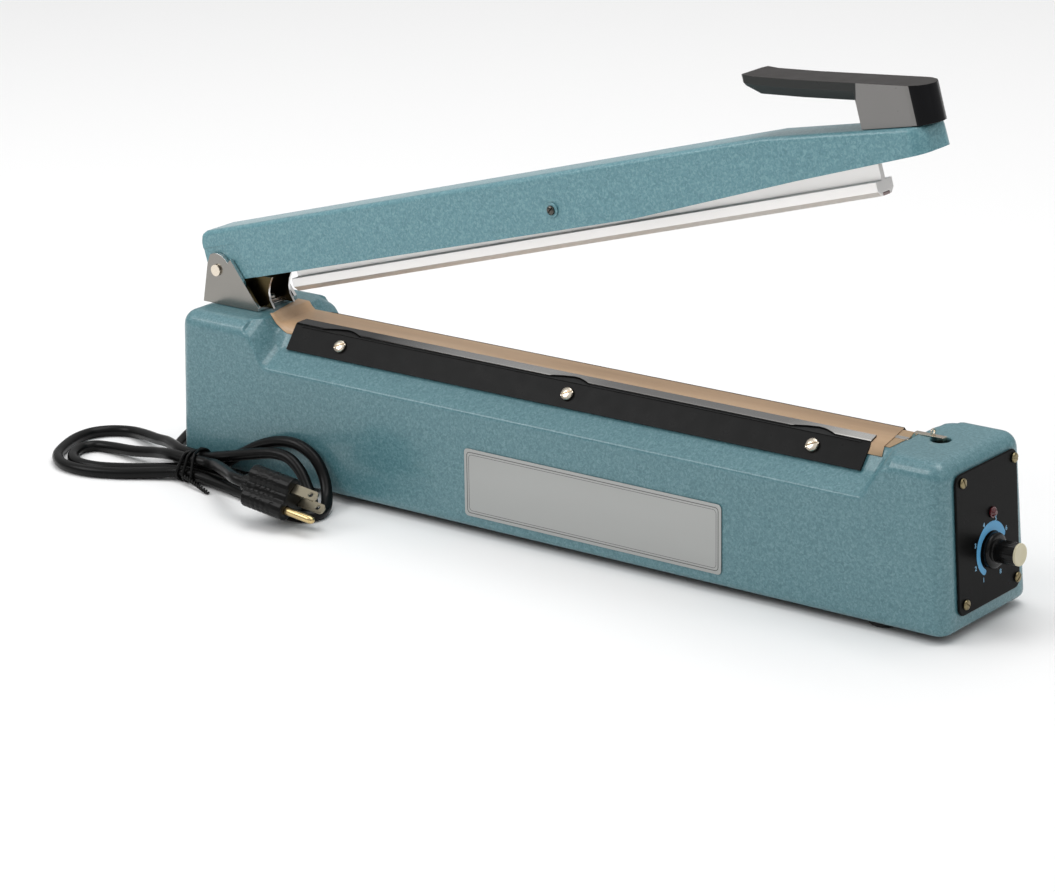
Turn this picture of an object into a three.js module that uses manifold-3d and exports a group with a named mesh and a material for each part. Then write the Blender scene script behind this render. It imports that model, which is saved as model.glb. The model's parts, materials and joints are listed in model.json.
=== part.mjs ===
// Bench impulse sealer with a long jaw, a hinged arm and a coiled mains cord.
// Millimetres, +Z up. +X runs along the jaw from the hinge to the control panel, and -Y is the label side.
// Every size below is measured from the middle of the housing and from its bottom edge.
// The last lines move the whole part so that the feet stand on z = 0 under its middle.
import * as THREE from 'three';
import { mergeVertices } from 'three/addons/utils/BufferGeometryUtils.js';
import Module from 'manifold-3d';

const wasm = await Module();
wasm.setup();

// Clearances shared by all pieces
const gap = 0.3;
const overrun = 2;

// Facets of round pieces
const fineSides = 24;
const midSides = 16;
const coarseSides = 10;
const cornerSteps = 5;

// Housing: one thin casting, open below, drafted on all four sides
const housing = {
  length: 560,
  width: 85.5,
  height: 95.7,
  draftDegrees: 2,
  wall: 3,
  rimWall: 5.2,
  rimHeight: 5.5,
  rimChamfer: 2,
  cornerRadius: 9,
  topRadius: 9,
  bottomRadius: 4.5,
};

// Seat of the jaw, lower than the two end blocks and sloped on both sides
const seat = {
  platformDrop: 4.7,
  shoulderDrop: 12,
  ledgeDrop: 9.3,
  ledgeRound: 0.85,
  shoulderHalfWidth: 25.4,
  platformHalfWidth: 15.2,
  leftInset: 58,
  rightInset: 40,
  sideBlend: 16,
  platformBlend: 7,
  leftPlatformInset: 1,
  rightPlatformInset: 2,
  cavityDrop: 4,
};
const platformHeight = housing.height - seat.platformDrop;
const shoulderHeight = platformHeight - seat.shoulderDrop;
const ledgeHeight = shoulderHeight - seat.ledgeDrop;
const seatLeft = seat.leftInset - housing.length / 2;
const seatRight = housing.length / 2 - seat.rightInset;

// Bottom cover, its bosses and screws
const cover = {
  thickness: 1.5,
  height: 1.2,
  bossInset: 90,
  bossRadius: 4.5,
  screwRadius: 1.5,
  screwLength: 10,
  headRadius: 2.8,
  headHeight: 1.6,
};
const bossX = housing.length / 2 - cover.bossInset;

// Rubber feet
const foot = {
  endInset: 48,
  sideInset: 15.75,
  radius: 9.25,
  height: 4.2,
  neckRadius: 2.6,
  barbRadius: 3.6,
  barbHeight: 2.4,
  edge: 1,
};
const footX = housing.length / 2 - foot.endInset;
const footY = housing.width / 2 - foot.sideInset;

// Heating element stack on the platform
const stack = {
  insulationThickness: 0.3,
  ribbonThickness: 0.2,
  foldThickness: 0.5,
  sheetThickness: 0.25,
  step: 0.05,
  insulationHalfWidth: 14.5,
  ribbonHalfWidth: 2,
  ribbonY: 2.5,
  leftInset: 16,
  rightInset: 13,
};
const elementLeft = seatLeft + stack.leftInset;
const elementRight = seatRight - stack.rightInset;

// Non-stick sheet over the element, draped under the front strip
const sheet = {
  rearOverhang: 0.7,
  frontEdgeShare: 0.64,
  blendLift: 1.3,
  leftNearInset: 3,
  leftFarOverlap: 6,
  rightNearInset: 15,
  rightFarInset: 24,
  blendShares: [0, 0.18, 0.36, 0.55, 0.75, 1],
};
const sheetRearY = seat.platformHalfWidth + sheet.rearOverhang;

// Clamp strips along the slopes
const strip = {
  leftInset: 20.5,
  rightInset: 24,
  liftOff: 0.75,
  thickness: 0.95,
  footShare: 0.02,
  lipThickness: 1.1,
  lipFrontY: 17,
  lipRearY: 5.6,
  lipChamfer: 4,
  leftScrewInset: 40.9,
  middleScrewShift: 4.95,
  rightScrewInset: 34.3,
  screwShare: 0.5,
  headRadius: 4.1,
  headHeight: 2.2,
  shankRadius: 1.75,
  shankLength: 8,
};
const stripLeft = seatLeft + strip.leftInset;
const stripRight = seatRight - strip.rightInset;
const stripScrewXs = [
  stripLeft + strip.leftScrewInset,
  (stripLeft + stripRight) / 2 + strip.middleScrewShift,
  stripRight - strip.rightScrewInset,
];

// Element terminals and the spring that keeps the ribbon tight
const terminal = {
  holeReach: 9.8,
  holeY: 0.5,
  holeRadius: 5.75,
  width: 4,
  thickness: 0.5,
  riseGap: 2,
  riseLength: 3,
  ringSetback: 6.3,
  ringRadius: 2.2,
  ringBore: 1.1,
  ringLift: 1.7,
  hookDepth: 17,
  hookSetback: 2.8,
};
const terminalHoleX = seatRight + terminal.holeReach;
const riseStart = elementRight + terminal.riseGap;
const riseEnd = riseStart + terminal.riseLength;
const ringX = terminalHoleX - terminal.ringSetback;
const hookX = terminalHoleX - terminal.hookSetback;
const tensionSpring = {
  wireRadius: 0.6,
  coilRadius: 3.2,
  turnCount: 6,
  startReach: 1.7,
  length: 14,
  drop: 15.2,
  lugThickness: 5,
  lugHeight: 7,
};
const springStartX = terminalHoleX + tensionSpring.startReach;
const springHeight = housing.height - tensionSpring.drop;
const leftTerminal = {
  holeInset: 12.5,
  holeRadius: 3.4,
  drop: 12,
  blockLength: 12,
  blockWidth: 10,
  blockHeight: 8,
  postRadius: 3,
};
const leftHoleX = seatLeft + leftTerminal.holeInset;

// Hinge bracket, pin, inner bracket and return spring
const hinge = {
  inset: 17,
  rise: 21.9,
  pinRadius: 3,
  pinHeadRadius: 3.65,
  pinHeadHeight: 1.2,
  earOuter: 17.6,
  earThickness: 2.5,
  earTopRadius: 10.6,
  earBack: 13,
  earBackWaist: 7.5,
  earBackWaistRise: 4,
  earFrontWaist: 11.6,
  earFrontWaistRise: 8.1,
  earFront: 32.7,
  baseThickness: 2.2,
  rearScrewBack: 7,
  frontScrewAhead: 27,
  screwRadius: 1.75,
  headRadius: 3.2,
  headHeight: 2,
  screwLength: 12,
};
const hingeX = hinge.inset - housing.length / 2;
const hingeZ = housing.height + hinge.rise;
const earBackX = hingeX - hinge.earBack;
const earFrontX = hingeX + hinge.earFront;
const bracketScrewXs = [hingeX - hinge.rearScrewBack, hingeX + hinge.frontScrewAhead];
const innerBracket = {
  outer: 9.75,
  thickness: 1.5,
  back: 10.5,
  frontTop: 38,
  frontMid: 34.7,
  frontLow: 38.4,
  topDrop: 1.1,
  rearDrop: 11.6,
  rearTop: 17,
  lowRise: 1.2,
  baseFront: 31.5,
};
const innerBackX = hingeX - innerBracket.back;
const innerFrontX = hingeX + innerBracket.baseFront;
const innerTopZ = hingeZ - innerBracket.topDrop;
const innerLowZ = housing.height + innerBracket.lowRise;
const returnSpring = {
  wireRadius: 1,
  coilRadius: 5,
  turnCount: 5,
  pitch: 2.5,
  armLegLength: 26,
  baseLegLength: 12,
};

// Arm: a cast channel, open below. u runs from the pivot to the tip and v stands square to it.
const arm = {
  raisedDegrees: 14.93,
  rearU: -9.6,
  tipInset: 12,
  lowV: -8.4,
  topV: 24.2,
  tipTopV: 16,
  tipLowV: 1.6,
  slopeLength: 103,
  slopeRun: 100,
  liftLength: 201,
  liftShare: 1.35,
  bottomHalfWidth: 16,
  topHalfWidth: 14.5,
  edgeRadius: 3,
  rearRadius: 4,
  noseRadius: 8.6,
  wall: 3,
  channelHalfWidth: 12,
  noseWall: 8,
  recessHalfWidth: 14.5,
  recessLowU: 31,
  recessTopU: 17,
  recessTopV: 14,
};
const armTipU = housing.length / 2 - hingeX - arm.tipInset;
const slopeStartU = armTipU - arm.slopeLength;
const liftStartU = armTipU - arm.liftLength;

// Handle on the arm's tip
const handle = {
  halfWidth: 12,
  sideHeight: 4.6,
  chamferDepth: 4,
  chamferHeight: 5.75,
  rearBack: 109.5,
  rearV: 59.2,
  rearBottomBack: 100,
  kneeBack: 73.2,
  kneeV: 51.4,
  frontBack: 7.4,
  frontV: 38.7,
  postBack: 37.8,
  noseBack: 6,
  rearTipRound: 3,
  screwBack: 23,
  screwRadius: 2,
  headRadius: 3.2,
  headHeight: 2,
  screwLength: 12,
};
const handleRearU = armTipU - handle.rearBack;
const handleRearBottomU = armTipU - handle.rearBottomBack;
const handleKneeU = armTipU - handle.kneeBack;
const handleFrontU = armTipU - handle.frontBack;
const handlePostU = armTipU - handle.postBack;
const handleNoseU = armTipU - handle.noseBack;
const handleScrewU = armTipU - handle.screwBack;

// Pressure bar, hung from one cross screw. Its own frame starts at that screw.
const bar = {
  screwShift: 1.5,
  screwV: 3.6,
  tiltDegrees: 0.48,
  depth: 23.7,
  leftClear: 8.1,
  rightClear: 13.2,
  footHalfWidth: 7.5,
  footHeight: 8.4,
  chamfer: 3,
  webHalfWidth: 1.75,
  height: 22,
  siliconeHalfWidth: 3,
  siliconeHeight: 1.6,
};
const barScrewU = (seatLeft + seatRight) / 2 - hingeX + bar.screwShift;
const barLeftReach = (seatRight - seatLeft) / 2 - bar.leftClear;
const barRightReach = (seatRight - seatLeft) / 2 - bar.rightClear;
const hanger = {
  halfLength: 30,
  sideThickness: 3,
  low: -12.5,
  top: 7.5,
  lugHalfLength: 14,
};
const crossScrew = {
  radius: 2.5,
  headRadius: 4.6,
  headHeight: 2.4,
  nutRadius: 4.6,
  nutHeight: 3.5,
  tail: 2,
};

// Control panel on the right end
const panel = {
  sideInset: 12.45,
  bottom: 9.4,
  topInset: 7.2,
  radius: 5,
  proud: 1.8,
  windowHalfWidth: 21,
  windowLowShare: 0.147,
  windowHighShare: 0.817,
  screwEdge: 4.8,
  screwShift: 1.5,
  lowScrewInset: 6,
  highScrewInset: 5.2,
  screwRadius: 1.5,
  screwLength: 8,
  headRadius: 3.1,
  headHeight: 1.5,
  ledY: 4,
  ledShare: 0.6296,
};
const panelTop = housing.height - panel.topInset;
const panelHalfWidth = housing.width / 2 - panel.sideInset;
const upPanel = (share) => panel.bottom + (panelTop - panel.bottom) * share;
const ledHeight = upPanel(panel.ledShare);
const led = { radius: 2.5, flangeRadius: 3.1, flangeHeight: 0.9, dome: 1.6 };
const knob = {
  y: 2.5,
  heightShare: 0.3666,
  skirtRadius: 10,
  skirtHeight: 3.2,
  stalkRadius: 6.2,
  stalkHeight: 13.4,
  capRadius: 6.3,
  capHeight: 4.8,
  capEdge: 0.8,
  lift: 0.8,
  shaftRadius: 3,
};
const knobHeight = upPanel(knob.heightShare);
const pot = {
  bushRadius: 4.6,
  bodyRadius: 9,
  bodyHeight: 9,
};
const board = {
  halfWidth: 19,
  lowShare: 0.185,
  highShare: 0.779,
  thickness: 1.6,
  relayLength: 18,
  relayWidth: 15,
  relayDepth: 12,
  relayLowShare: 0.5,
};
const relayLow = upPanel(board.relayLowShare);

// Label plate on the front face, bare
const label = {
  left: -50,
  right: 134,
  bottom: 7.8,
  top: 48.5,
  thickness: 0.5,
  radius: 2.5,
};

// Transformer on the bottom cover
const transformer = {
  x: -20,
  legWidth: 11,
  windowWidth: 11,
  windowHeight: 33,
  yoke: 11,
  halfDepth: 15,
  coilOverhang: 9,
};

// Start switch under the hinge and the rod that presses it
const starter = {
  ahead: 12.5,
  rodRadius: 2,
  switchLength: 20,
  switchHeight: 16,
  switchHalfWidth: 5,
  drop: 17.7,
  plungerRadius: 1.6,
  plungerDepth: 4.5,
  plungerBore: 10.5,
  shoulderLift: 5.2,
  ribThickness: 5,
};
const starterX = hingeX + starter.ahead;
const switchTop = housing.height - starter.drop;

// Mains cord and plug
const cord = { diameter: 7, sides: 8 };
const relief = {
  y: 2,
  z: 9,
  collarRadius: 7,
  collarLength: 2.5,
  noseRadius: 5.2,
  noseLength: 5,
  throatRadius: 5,
  throatLength: 7,
};
const hank = { sides: 6 };
const tie = {
  x: -252.5,
  length: 9,
  thickness: 1.2,
  farY: -47.4,
  nearY: -63.9,
  lowZ: 1.2,
  upperFarY: -51.7,
  upperNearY: -59.9,
  highZ: 9.2,
  tailRadius: 1,
  tailAlong: 26,
  tailOut: 8,
};
const plug = {
  yawDegrees: 3,
  pitchDegrees: -8,
  frontX: -140.5,
  frontY: -91.5,
  frontZ: 13.5,
  bodyLength: 30,
  lobeRadius: 6.3,
  waistRadius: 8.5,
  neckRadius: 5.6,
  neckLength: 7,
  bladeSpacing: 12.7,
  pinDrop: 11.9,
  bladeWidth: 6.3,
  bladeThickness: 1.5,
  bladeLength: 17.5,
  bladeRoot: 6,
  pinRadius: 2.4,
  pinLength: 21,
  rollDegrees: -55,
};

// Shape helpers
const rad = (degrees) => THREE.MathUtils.degToRad(degrees);
const vec = (x, y, z) => new THREE.Vector3(x, y, z);
const mix = THREE.MathUtils.lerp;
const smooth = (value, start, end) => THREE.MathUtils.smoothstep(value, start, end);
const axisX = vec(1, 0, 0);
const axisY = vec(0, 1, 0);
const axisZ = vec(0, 0, 1);

// Welds a geometry, drops its flat triangles and turns its faces outwards
function closed(geometry) {
  if (geometry.userData.closed) return geometry;
  const bare = geometry.clone();
  for (const name of Object.keys(bare.attributes)) {
    if (name !== 'position') bare.deleteAttribute(name);
  }
  const welded = mergeVertices(bare);
  const corners = welded.index.array;
  const at = (i) => vec().fromBufferAttribute(welded.attributes.position, i);
  const kept = [];
  let volume = 0;
  for (let i = 0; i < corners.length; i += 3) {
    const [a, b, c] = [corners[i], corners[i + 1], corners[i + 2]];
    if (a === b || b === c || c === a) continue;
    kept.push(a, b, c);
    volume += at(a).dot(at(b).cross(at(c)));
  }
  if (volume < 0) kept.reverse();
  welded.setIndex(kept);
  welded.computeVertexNormals();
  welded.userData.closed = true;
  return welded;
}

function toSolid(geometry) {
  const welded = closed(geometry);
  return new wasm.Manifold(
    new wasm.Mesh({
      numProp: 3,
      vertProperties: new Float32Array(welded.attributes.position.array),
      triVerts: new Uint32Array(welded.index.array),
    }),
  );
}

function toGeometry(solid) {
  const { vertProperties, triVerts } = solid.getMesh();
  const geometry = new THREE.BufferGeometry();
  geometry.setAttribute('position', new THREE.BufferAttribute(vertProperties, 3));
  geometry.setIndex(new THREE.BufferAttribute(triVerts, 1));
  geometry.computeVertexNormals();
  geometry.userData.closed = true;
  return geometry;
}

function cut(body, ...tools) {
  let solid = toSolid(body);
  for (const tool of tools) solid = solid.subtract(toSolid(tool));
  return toGeometry(solid);
}

function join(...bodies) {
  let solid = toSolid(bodies[0]);
  for (const body of bodies.slice(1)) solid = solid.add(toSolid(body));
  return toGeometry(solid);
}

function common(body, limit) {
  return toGeometry(toSolid(body).intersect(toSolid(limit)));
}

function shapeOf(outline, holes = []) {
  const toPoint = ([a, b]) => new THREE.Vector2(a, b);
  const shape = new THREE.Shape(outline.map(toPoint));
  for (const hole of holes) shape.holes.push(new THREE.Path(hole.map(toPoint)));
  return shape;
}

function extruded(outline, length, holes) {
  const options = { depth: length, bevelEnabled: false };
  return new THREE.ExtrudeGeometry(shapeOf(outline, holes), options);
}

// An outline of x, y points between two heights
function upright(outline, low, high, holes) {
  return extruded(outline, high - low, holes).translate(0, 0, low);
}

// An outline of x, z points between two places along Y
function sideways(outline, near, far, holes) {
  return extruded(outline, far - near, holes).rotateX(rad(90)).translate(0, far, 0);
}

// An outline of y, z points between two places along X
function lengthways(outline, left, right, holes) {
  const turn = new THREE.Matrix4().makeBasis(axisY, axisZ, axisX);
  return extruded(outline, right - left, holes).applyMatrix4(turn).translate(left, 0, 0);
}

function block(left, right, near, far, low, high) {
  const box = new THREE.BoxGeometry(right - left, far - near, high - low);
  return box.translate((left + right) / 2, (near + far) / 2, (low + high) / 2);
}

// Turns a profile of radius, height pairs about +Z
function turned(profile, sides) {
  const points = profile.map(([radius, height]) => new THREE.Vector2(radius, height));
  return closed(new THREE.LatheGeometry(points, sides).rotateX(rad(90)));
}

// Stands a shape made along +Z at a place, pointing another way
function aimed(geometry, place, direction) {
  const turn = new THREE.Quaternion().setFromUnitVectors(axisZ, direction.clone().normalize());
  return geometry.applyQuaternion(turn).translate(place.x, place.y, place.z);
}

function rod(from, to, radius, sides) {
  const along = to.clone().sub(from);
  const length = along.length();
  return aimed(turned([[0, 0], [radius, 0], [radius, length], [0, length]], sides), from, along);
}

function circle(x, y, radius, sides) {
  const points = [];
  for (let i = 0; i < sides; i += 1) {
    const angle = (2 * Math.PI * i) / sides;
    points.push([x + radius * Math.cos(angle), y + radius * Math.sin(angle)]);
  }
  return points;
}

function arc(x, y, radius, startDegrees, endDegrees, steps) {
  const points = [];
  for (let i = 0; i <= steps; i += 1) {
    const angle = rad(mix(startDegrees, endDegrees, i / steps));
    points.push([x + radius * Math.cos(angle), y + radius * Math.sin(angle)]);
  }
  return points;
}

function roundedRect(halfLength, halfWidth, radius, steps) {
  const x = halfLength - radius;
  const y = halfWidth - radius;
  return [
    ...arc(x, y, radius, 0, 90, steps),
    ...arc(-x, y, radius, 90, 180, steps),
    ...arc(-x, -y, radius, 180, 270, steps),
    ...arc(x, -y, radius, 270, 360, steps),
  ];
}

// Joins rings of equal point counts into one closed body. flat gives the coordinates that close its ends.
function loft(rings, flat) {
  const positions = rings.flat().flatMap((p) => [p.x, p.y, p.z]);
  const count = rings[0].length;
  const faces = [];
  for (let i = 0; i + 1 < rings.length; i += 1) {
    for (let j = 0; j < count; j += 1) {
      const next = (j + 1) % count;
      const [a, b] = [i * count + j, i * count + next];
      faces.push(a, b, b + count, a, b + count, a + count);
    }
  }
  for (const [ring, start, side] of [[rings[0], 0, -1], [rings.at(-1), (rings.length - 1) * count, 1]]) {
    const contour = ring.map((p) => new THREE.Vector2(...flat(p)));
    const turn = Math.sign(THREE.ShapeUtils.area(contour)) * side;
    for (const [a, b, c] of THREE.ShapeUtils.triangulateShape(contour, [])) {
      const area = THREE.ShapeUtils.area([contour[a], contour[b], contour[c]]);
      const order = area * turn > 0 ? [a, b, c] : [a, c, b];
      faces.push(...order.map((k) => k + start));
    }
  }
  const geometry = new THREE.BufferGeometry();
  geometry.setAttribute('position', new THREE.Float32BufferAttribute(positions, 3));
  geometry.setIndex(faces);
  return closed(geometry);
}

// A thin plate under a grid of places, equally thick everywhere when measured upright
function plate(rows, thickness) {
  const count = rows[0].length;
  const places = rows.flat();
  const under = places.length;
  const top = places.flatMap((p) => [p.x, p.y, p.z]);
  const bottom = places.flatMap((p) => [p.x, p.y, p.z - thickness]);
  const faces = [];
  for (let i = 0; i + 1 < rows.length; i += 1) {
    for (let j = 0; j + 1 < count; j += 1) {
      const [a, b] = [i * count + j, (i + 1) * count + j];
      for (const [p, q, r] of [[a, b, b + 1], [a, b + 1, a + 1]]) {
        faces.push(p, q, r, r + under, q + under, p + under);
      }
    }
  }
  const last = (rows.length - 1) * count;
  const columns = rows.map((row, i) => i * count);
  const border = [
    ...rows[0].map((p, j) => j),
    ...columns.slice(1).map((k) => k + count - 1),
    ...rows[0].map((p, j) => last + count - 1 - j).slice(1),
    ...columns.slice(1, -1).reverse(),
  ];
  border.forEach((k, i) => {
    const next = border[(i + 1) % border.length];
    faces.push(k, next, next + under, k, next + under, k + under);
  });
  const geometry = new THREE.BufferGeometry();
  geometry.setAttribute('position', new THREE.Float32BufferAttribute([...top, ...bottom], 3));
  geometry.setIndex(faces);
  return closed(geometry);
}

const byYZ = (p) => [p.y, p.z];
const byXY = (p) => [p.x, p.y];

// One unbroken tube through a list of places, with ends square to its first and last step
function tubeThrough(points, radius, sides) {
  const rings = [];
  const count = points.length;
  let normal = null;
  for (let i = 0; i < count; i += 1) {
    const before = points[Math.max(i - 1, 0)];
    const after = points[Math.min(i + 1, count - 1)];
    const tangent = after.clone().sub(before).normalize();
    const start = normal ?? (Math.abs(tangent.z) > 0.9 ? axisX : axisZ);
    normal = start.clone().addScaledVector(tangent, -start.dot(tangent)).normalize();
    const side = tangent.clone().cross(normal);
    const ring = [];
    for (let j = 0; j < sides; j += 1) {
      const angle = (2 * Math.PI * j) / sides;
      const offset = normal.clone().multiplyScalar(radius * Math.cos(angle));
      ring.push(points[i].clone().add(offset).addScaledVector(side, radius * Math.sin(angle)));
    }
    rings.push(ring);
  }
  const positions = rings.flat().flatMap((p) => [p.x, p.y, p.z]);
  const faces = [];
  for (let i = 0; i + 1 < count; i += 1) {
    for (let j = 0; j < sides; j += 1) {
      const [a, b] = [i * sides + j, i * sides + ((j + 1) % sides)];
      faces.push(a, b, b + sides, a, b + sides, a + sides);
    }
  }
  for (let j = 1; j + 1 < sides; j += 1) {
    faces.push(0, j + 1, j);
    const last = (count - 1) * sides;
    faces.push(last, last + j, last + j + 1);
  }
  const geometry = new THREE.BufferGeometry();
  geometry.setAttribute('position', new THREE.Float32BufferAttribute(positions, 3));
  geometry.setIndex(faces);
  return closed(geometry);
}

// A pan-head screw along -Z with its head above z = 0
function screw({ headRadius, headHeight, radius, length }) {
  const profile = [
    [0, -length],
    [radius, -length],
    [radius, 0],
    [headRadius, 0],
    [headRadius, headHeight / 2],
    [headRadius * 0.75, headHeight],
    [0, headHeight],
  ];
  return turned(profile, coarseSides);
}

const group = new THREE.Group();
const finishes = {
  hammertone: { color: 0x5f8a8f, roughness: 0.45, metalness: 0.3 },
  chrome: { color: 0xc8c8c6, roughness: 0.18, metalness: 1 },
  zinc: { color: 0xb5b1a6, roughness: 0.35, metalness: 1 },
  brass: { color: 0xb08a4a, roughness: 0.35, metalness: 1 },
  brightAluminium: { color: 0xd9d6d2, roughness: 0.4, metalness: 0.6 },
  blackPlastic: { color: 0x1c1d1f, roughness: 0.42, metalness: 0 },
  ivoryPlastic: { color: 0xd8cfae, roughness: 0.4, metalness: 0 },
  redLens: { color: 0x5a1014, roughness: 0.2, metalness: 0 },
  blackRubber: { color: 0x141414, roughness: 0.8, metalness: 0 },
  tanSheet: { color: 0xb98d5f, roughness: 0.5, metalness: 0 },
  blackSteel: { color: 0x1a1a1a, roughness: 0.4, metalness: 0.4 },
  silicone: { color: 0x9c3b2a, roughness: 0.7, metalness: 0 },
  insulation: { color: 0xd8d3c6, roughness: 0.9, metalness: 0 },
  circuit: { color: 0x7a5a2c, roughness: 0.6, metalness: 0 },
  darkIron: { color: 0x55565a, roughness: 0.6, metalness: 0.7 },
  varnish: { color: 0x8a4a2a, roughness: 0.5, metalness: 0 },
};

function piece(name, finish, geometry) {
  const mesh = new THREE.Mesh(closed(geometry), new THREE.MeshStandardMaterial(finishes[finish]));
  mesh.name = name;
  group.add(mesh);
}

// Housing
const draftSlope = Math.tan(rad(housing.draftDegrees));
const halfLengthAt = (z) => housing.length / 2 - draftSlope * z;
const halfWidthAt = (z) => housing.width / 2 - draftSlope * z;

// How far an edge round has drawn the outline in, at a distance from the rounded end
const roundInset = (radius, distance) => {
  const inside = Math.max(radius - distance, 0);
  return radius - Math.sqrt(Math.max(radius * radius - inside * inside, 0));
};

function housingRing(z, inset, radius) {
  const outline = roundedRect(halfLengthAt(z) - inset, halfWidthAt(z) - inset, radius, cornerSteps);
  return outline.map(([x, y]) => vec(x, y, z));
}

function roundShares(steps) {
  return Array.from({ length: steps + 1 }, (unused, i) => 1 - Math.cos(rad((90 * i) / steps)));
}

function housingShell() {
  const rings = [];
  const least = gap;
  for (const share of roundShares(3)) {
    const z = housing.bottomRadius * share;
    const inset = roundInset(housing.bottomRadius, z);
    rings.push(housingRing(z, inset, Math.max(housing.cornerRadius - inset, least)));
  }
  for (const share of roundShares(5).reverse()) {
    const z = housing.height - housing.topRadius * share;
    const inset = roundInset(housing.topRadius, housing.topRadius * share);
    rings.push(housingRing(z, inset, Math.max(housing.cornerRadius - inset, least)));
  }
  return loft(rings, byXY);
}

function housingCavity() {
  const inner = housing.wall;
  const radius = housing.cornerRadius - housing.wall;
  const top = housing.height - housing.wall;
  const softTop = top - radius;
  const chamferTop = housing.rimHeight + housing.rimChamfer;
  return loft(
    [
      housingRing(-overrun, housing.rimWall, radius),
      housingRing(housing.rimHeight, housing.rimWall, radius),
      housingRing(chamferTop, inner, radius),
      housingRing(softTop, inner, radius),
      housingRing(softTop + radius / 2, inner + radius / 6, radius),
      housingRing(top, inner + radius / 2, radius / 2),
    ],
    byXY,
  );
}

// Height of the end block's rounded top over a place across it
function blockTopAt(y) {
  const flat = halfWidthAt(housing.height) - housing.topRadius;
  const out = Math.min(Math.max(Math.abs(y) - flat, 0), housing.topRadius);
  return housing.height - housing.topRadius + Math.sqrt(housing.topRadius ** 2 - out ** 2);
}

// The seat's outline across the housing, near side first
function seatOutline() {
  const ledgeY = halfWidthAt(ledgeHeight);
  const ledgeLength = Math.hypot(ledgeY - seat.shoulderHalfWidth, shoulderHeight - ledgeHeight);
  const roundShare = seat.ledgeRound / ledgeLength;
  const roundY = mix(ledgeY, seat.shoulderHalfWidth, roundShare);
  const roundZ = mix(ledgeHeight, shoulderHeight, roundShare);
  const start = ledgeHeight - seat.ledgeRound;
  const half = [
    [housing.width / 2 + overrun, start],
    [halfWidthAt(start), start],
    [(ledgeY + (ledgeY + roundY) / 2) / 2, (ledgeHeight + (start + roundZ) / 2) / 2],
    [roundY, roundZ],
    [seat.shoulderHalfWidth, shoulderHeight],
    [seat.platformHalfWidth, platformHeight],
  ];
  return [...half.map(([y, z]) => [-y, z]), ...half.reverse()];
}

// How far the seat has risen into an end block at a place along it, as a share
function seatRise(x, onPlatform, inset) {
  const blend = onPlatform ? seat.platformBlend : seat.sideBlend;
  const left = seatLeft + (onPlatform ? seat.leftPlatformInset : 0) - inset;
  const right = seatRight - (onPlatform ? seat.rightPlatformInset : 0) + inset;
  return Math.max(smooth(-x, -left - blend, -left), smooth(x, right - blend, right));
}

function seatStations(inset) {
  const shares = [0, 0.2, 0.36, 0.5, 0.64, 0.8, 1];
  const left = shares.map((share) => seatLeft - inset + seat.sideBlend * share);
  const right = shares.map((share) => seatRight + inset - seat.sideBlend * share).reverse();
  return [left[0] - overrun, ...left, ...right, right.at(-1) + overrun];
}

// The space above the seat, to be cut away between the end blocks
function seatSpace(inset, drop) {
  const ceiling = housing.height + 2 * overrun;
  const rings = seatStations(inset).map((x) => {
    const ring = seatOutline().map(([y, z]) => {
      const onPlatform = Math.abs(y) <= seat.platformHalfWidth;
      const full = blockTopAt(y) + overrun - drop;
      return vec(x, y, mix(z - drop, full, seatRise(x, onPlatform, inset)));
    });
    const side = housing.width / 2 + overrun;
    ring.push(vec(x, side, ceiling), vec(x, -side, ceiling));
    return ring;
  });
  return loft(rings, byYZ);
}

// Height of the seat at a place on its platform or slopes, and how far that is above its level stretch
function seatHeightAt(x, share) {
  const platformTop = blockTopAt(seat.platformHalfWidth) + overrun;
  const shoulderTop = blockTopAt(seat.shoulderHalfWidth) + overrun;
  const platform = mix(platformHeight, platformTop, seatRise(x, true, 0));
  const shoulder = mix(shoulderHeight, shoulderTop, seatRise(x, false, 0));
  const height = mix(platform, shoulder, share);
  return Math.min(height, housing.height);
}
const seatLiftAt = (x, share) => seatHeightAt(x, share) - mix(platformHeight, shoulderHeight, share);

// A frame on a drafted face: local x runs along it, local y up it and local z out of it
function faceFrame(outwards, offset) {
  const lean = rad(housing.draftDegrees);
  const out = outwards.clone().multiplyScalar(Math.cos(lean)).addScaledVector(axisZ, Math.sin(lean));
  const up = axisZ.clone().multiplyScalar(Math.cos(lean)).addScaledVector(outwards, -Math.sin(lean));
  const along = up.clone().cross(out);
  return new THREE.Matrix4().makeBasis(along, up, out).setPosition(outwards.clone().multiplyScalar(offset));
}
const rightFace = faceFrame(axisX, housing.length / 2);
const frontFace = faceFrame(axisY.clone().negate(), housing.width / 2);

function panelScrewPlaces() {
  const places = [];
  const side = panelHalfWidth - panel.screwEdge;
  const heights = [panel.bottom + panel.lowScrewInset, panelTop - panel.highScrewInset];
  for (const y of [-side, side]) {
    for (const height of heights) places.push([y + panel.screwShift, height]);
  }
  return places;
}

// The screw line along the slope of the seat, and its outward direction
const slopeUp = vec(
  0,
  seat.shoulderHalfWidth - seat.platformHalfWidth,
  platformHeight - shoulderHeight,
).normalize();
const slopeOut = vec(0, -slopeUp.z, slopeUp.y);
const slopeFoot = vec(0, -seat.shoulderHalfWidth, shoulderHeight);
function slopePoint(along, out) {
  return slopeFoot.clone().addScaledVector(slopeUp, along).addScaledVector(slopeOut, out);
}
const slopeLength = Math.hypot(
  seat.shoulderHalfWidth - seat.platformHalfWidth,
  platformHeight - shoulderHeight,
);
const mirrorY = (p) => vec(p.x, -p.y, p.z);

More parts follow.
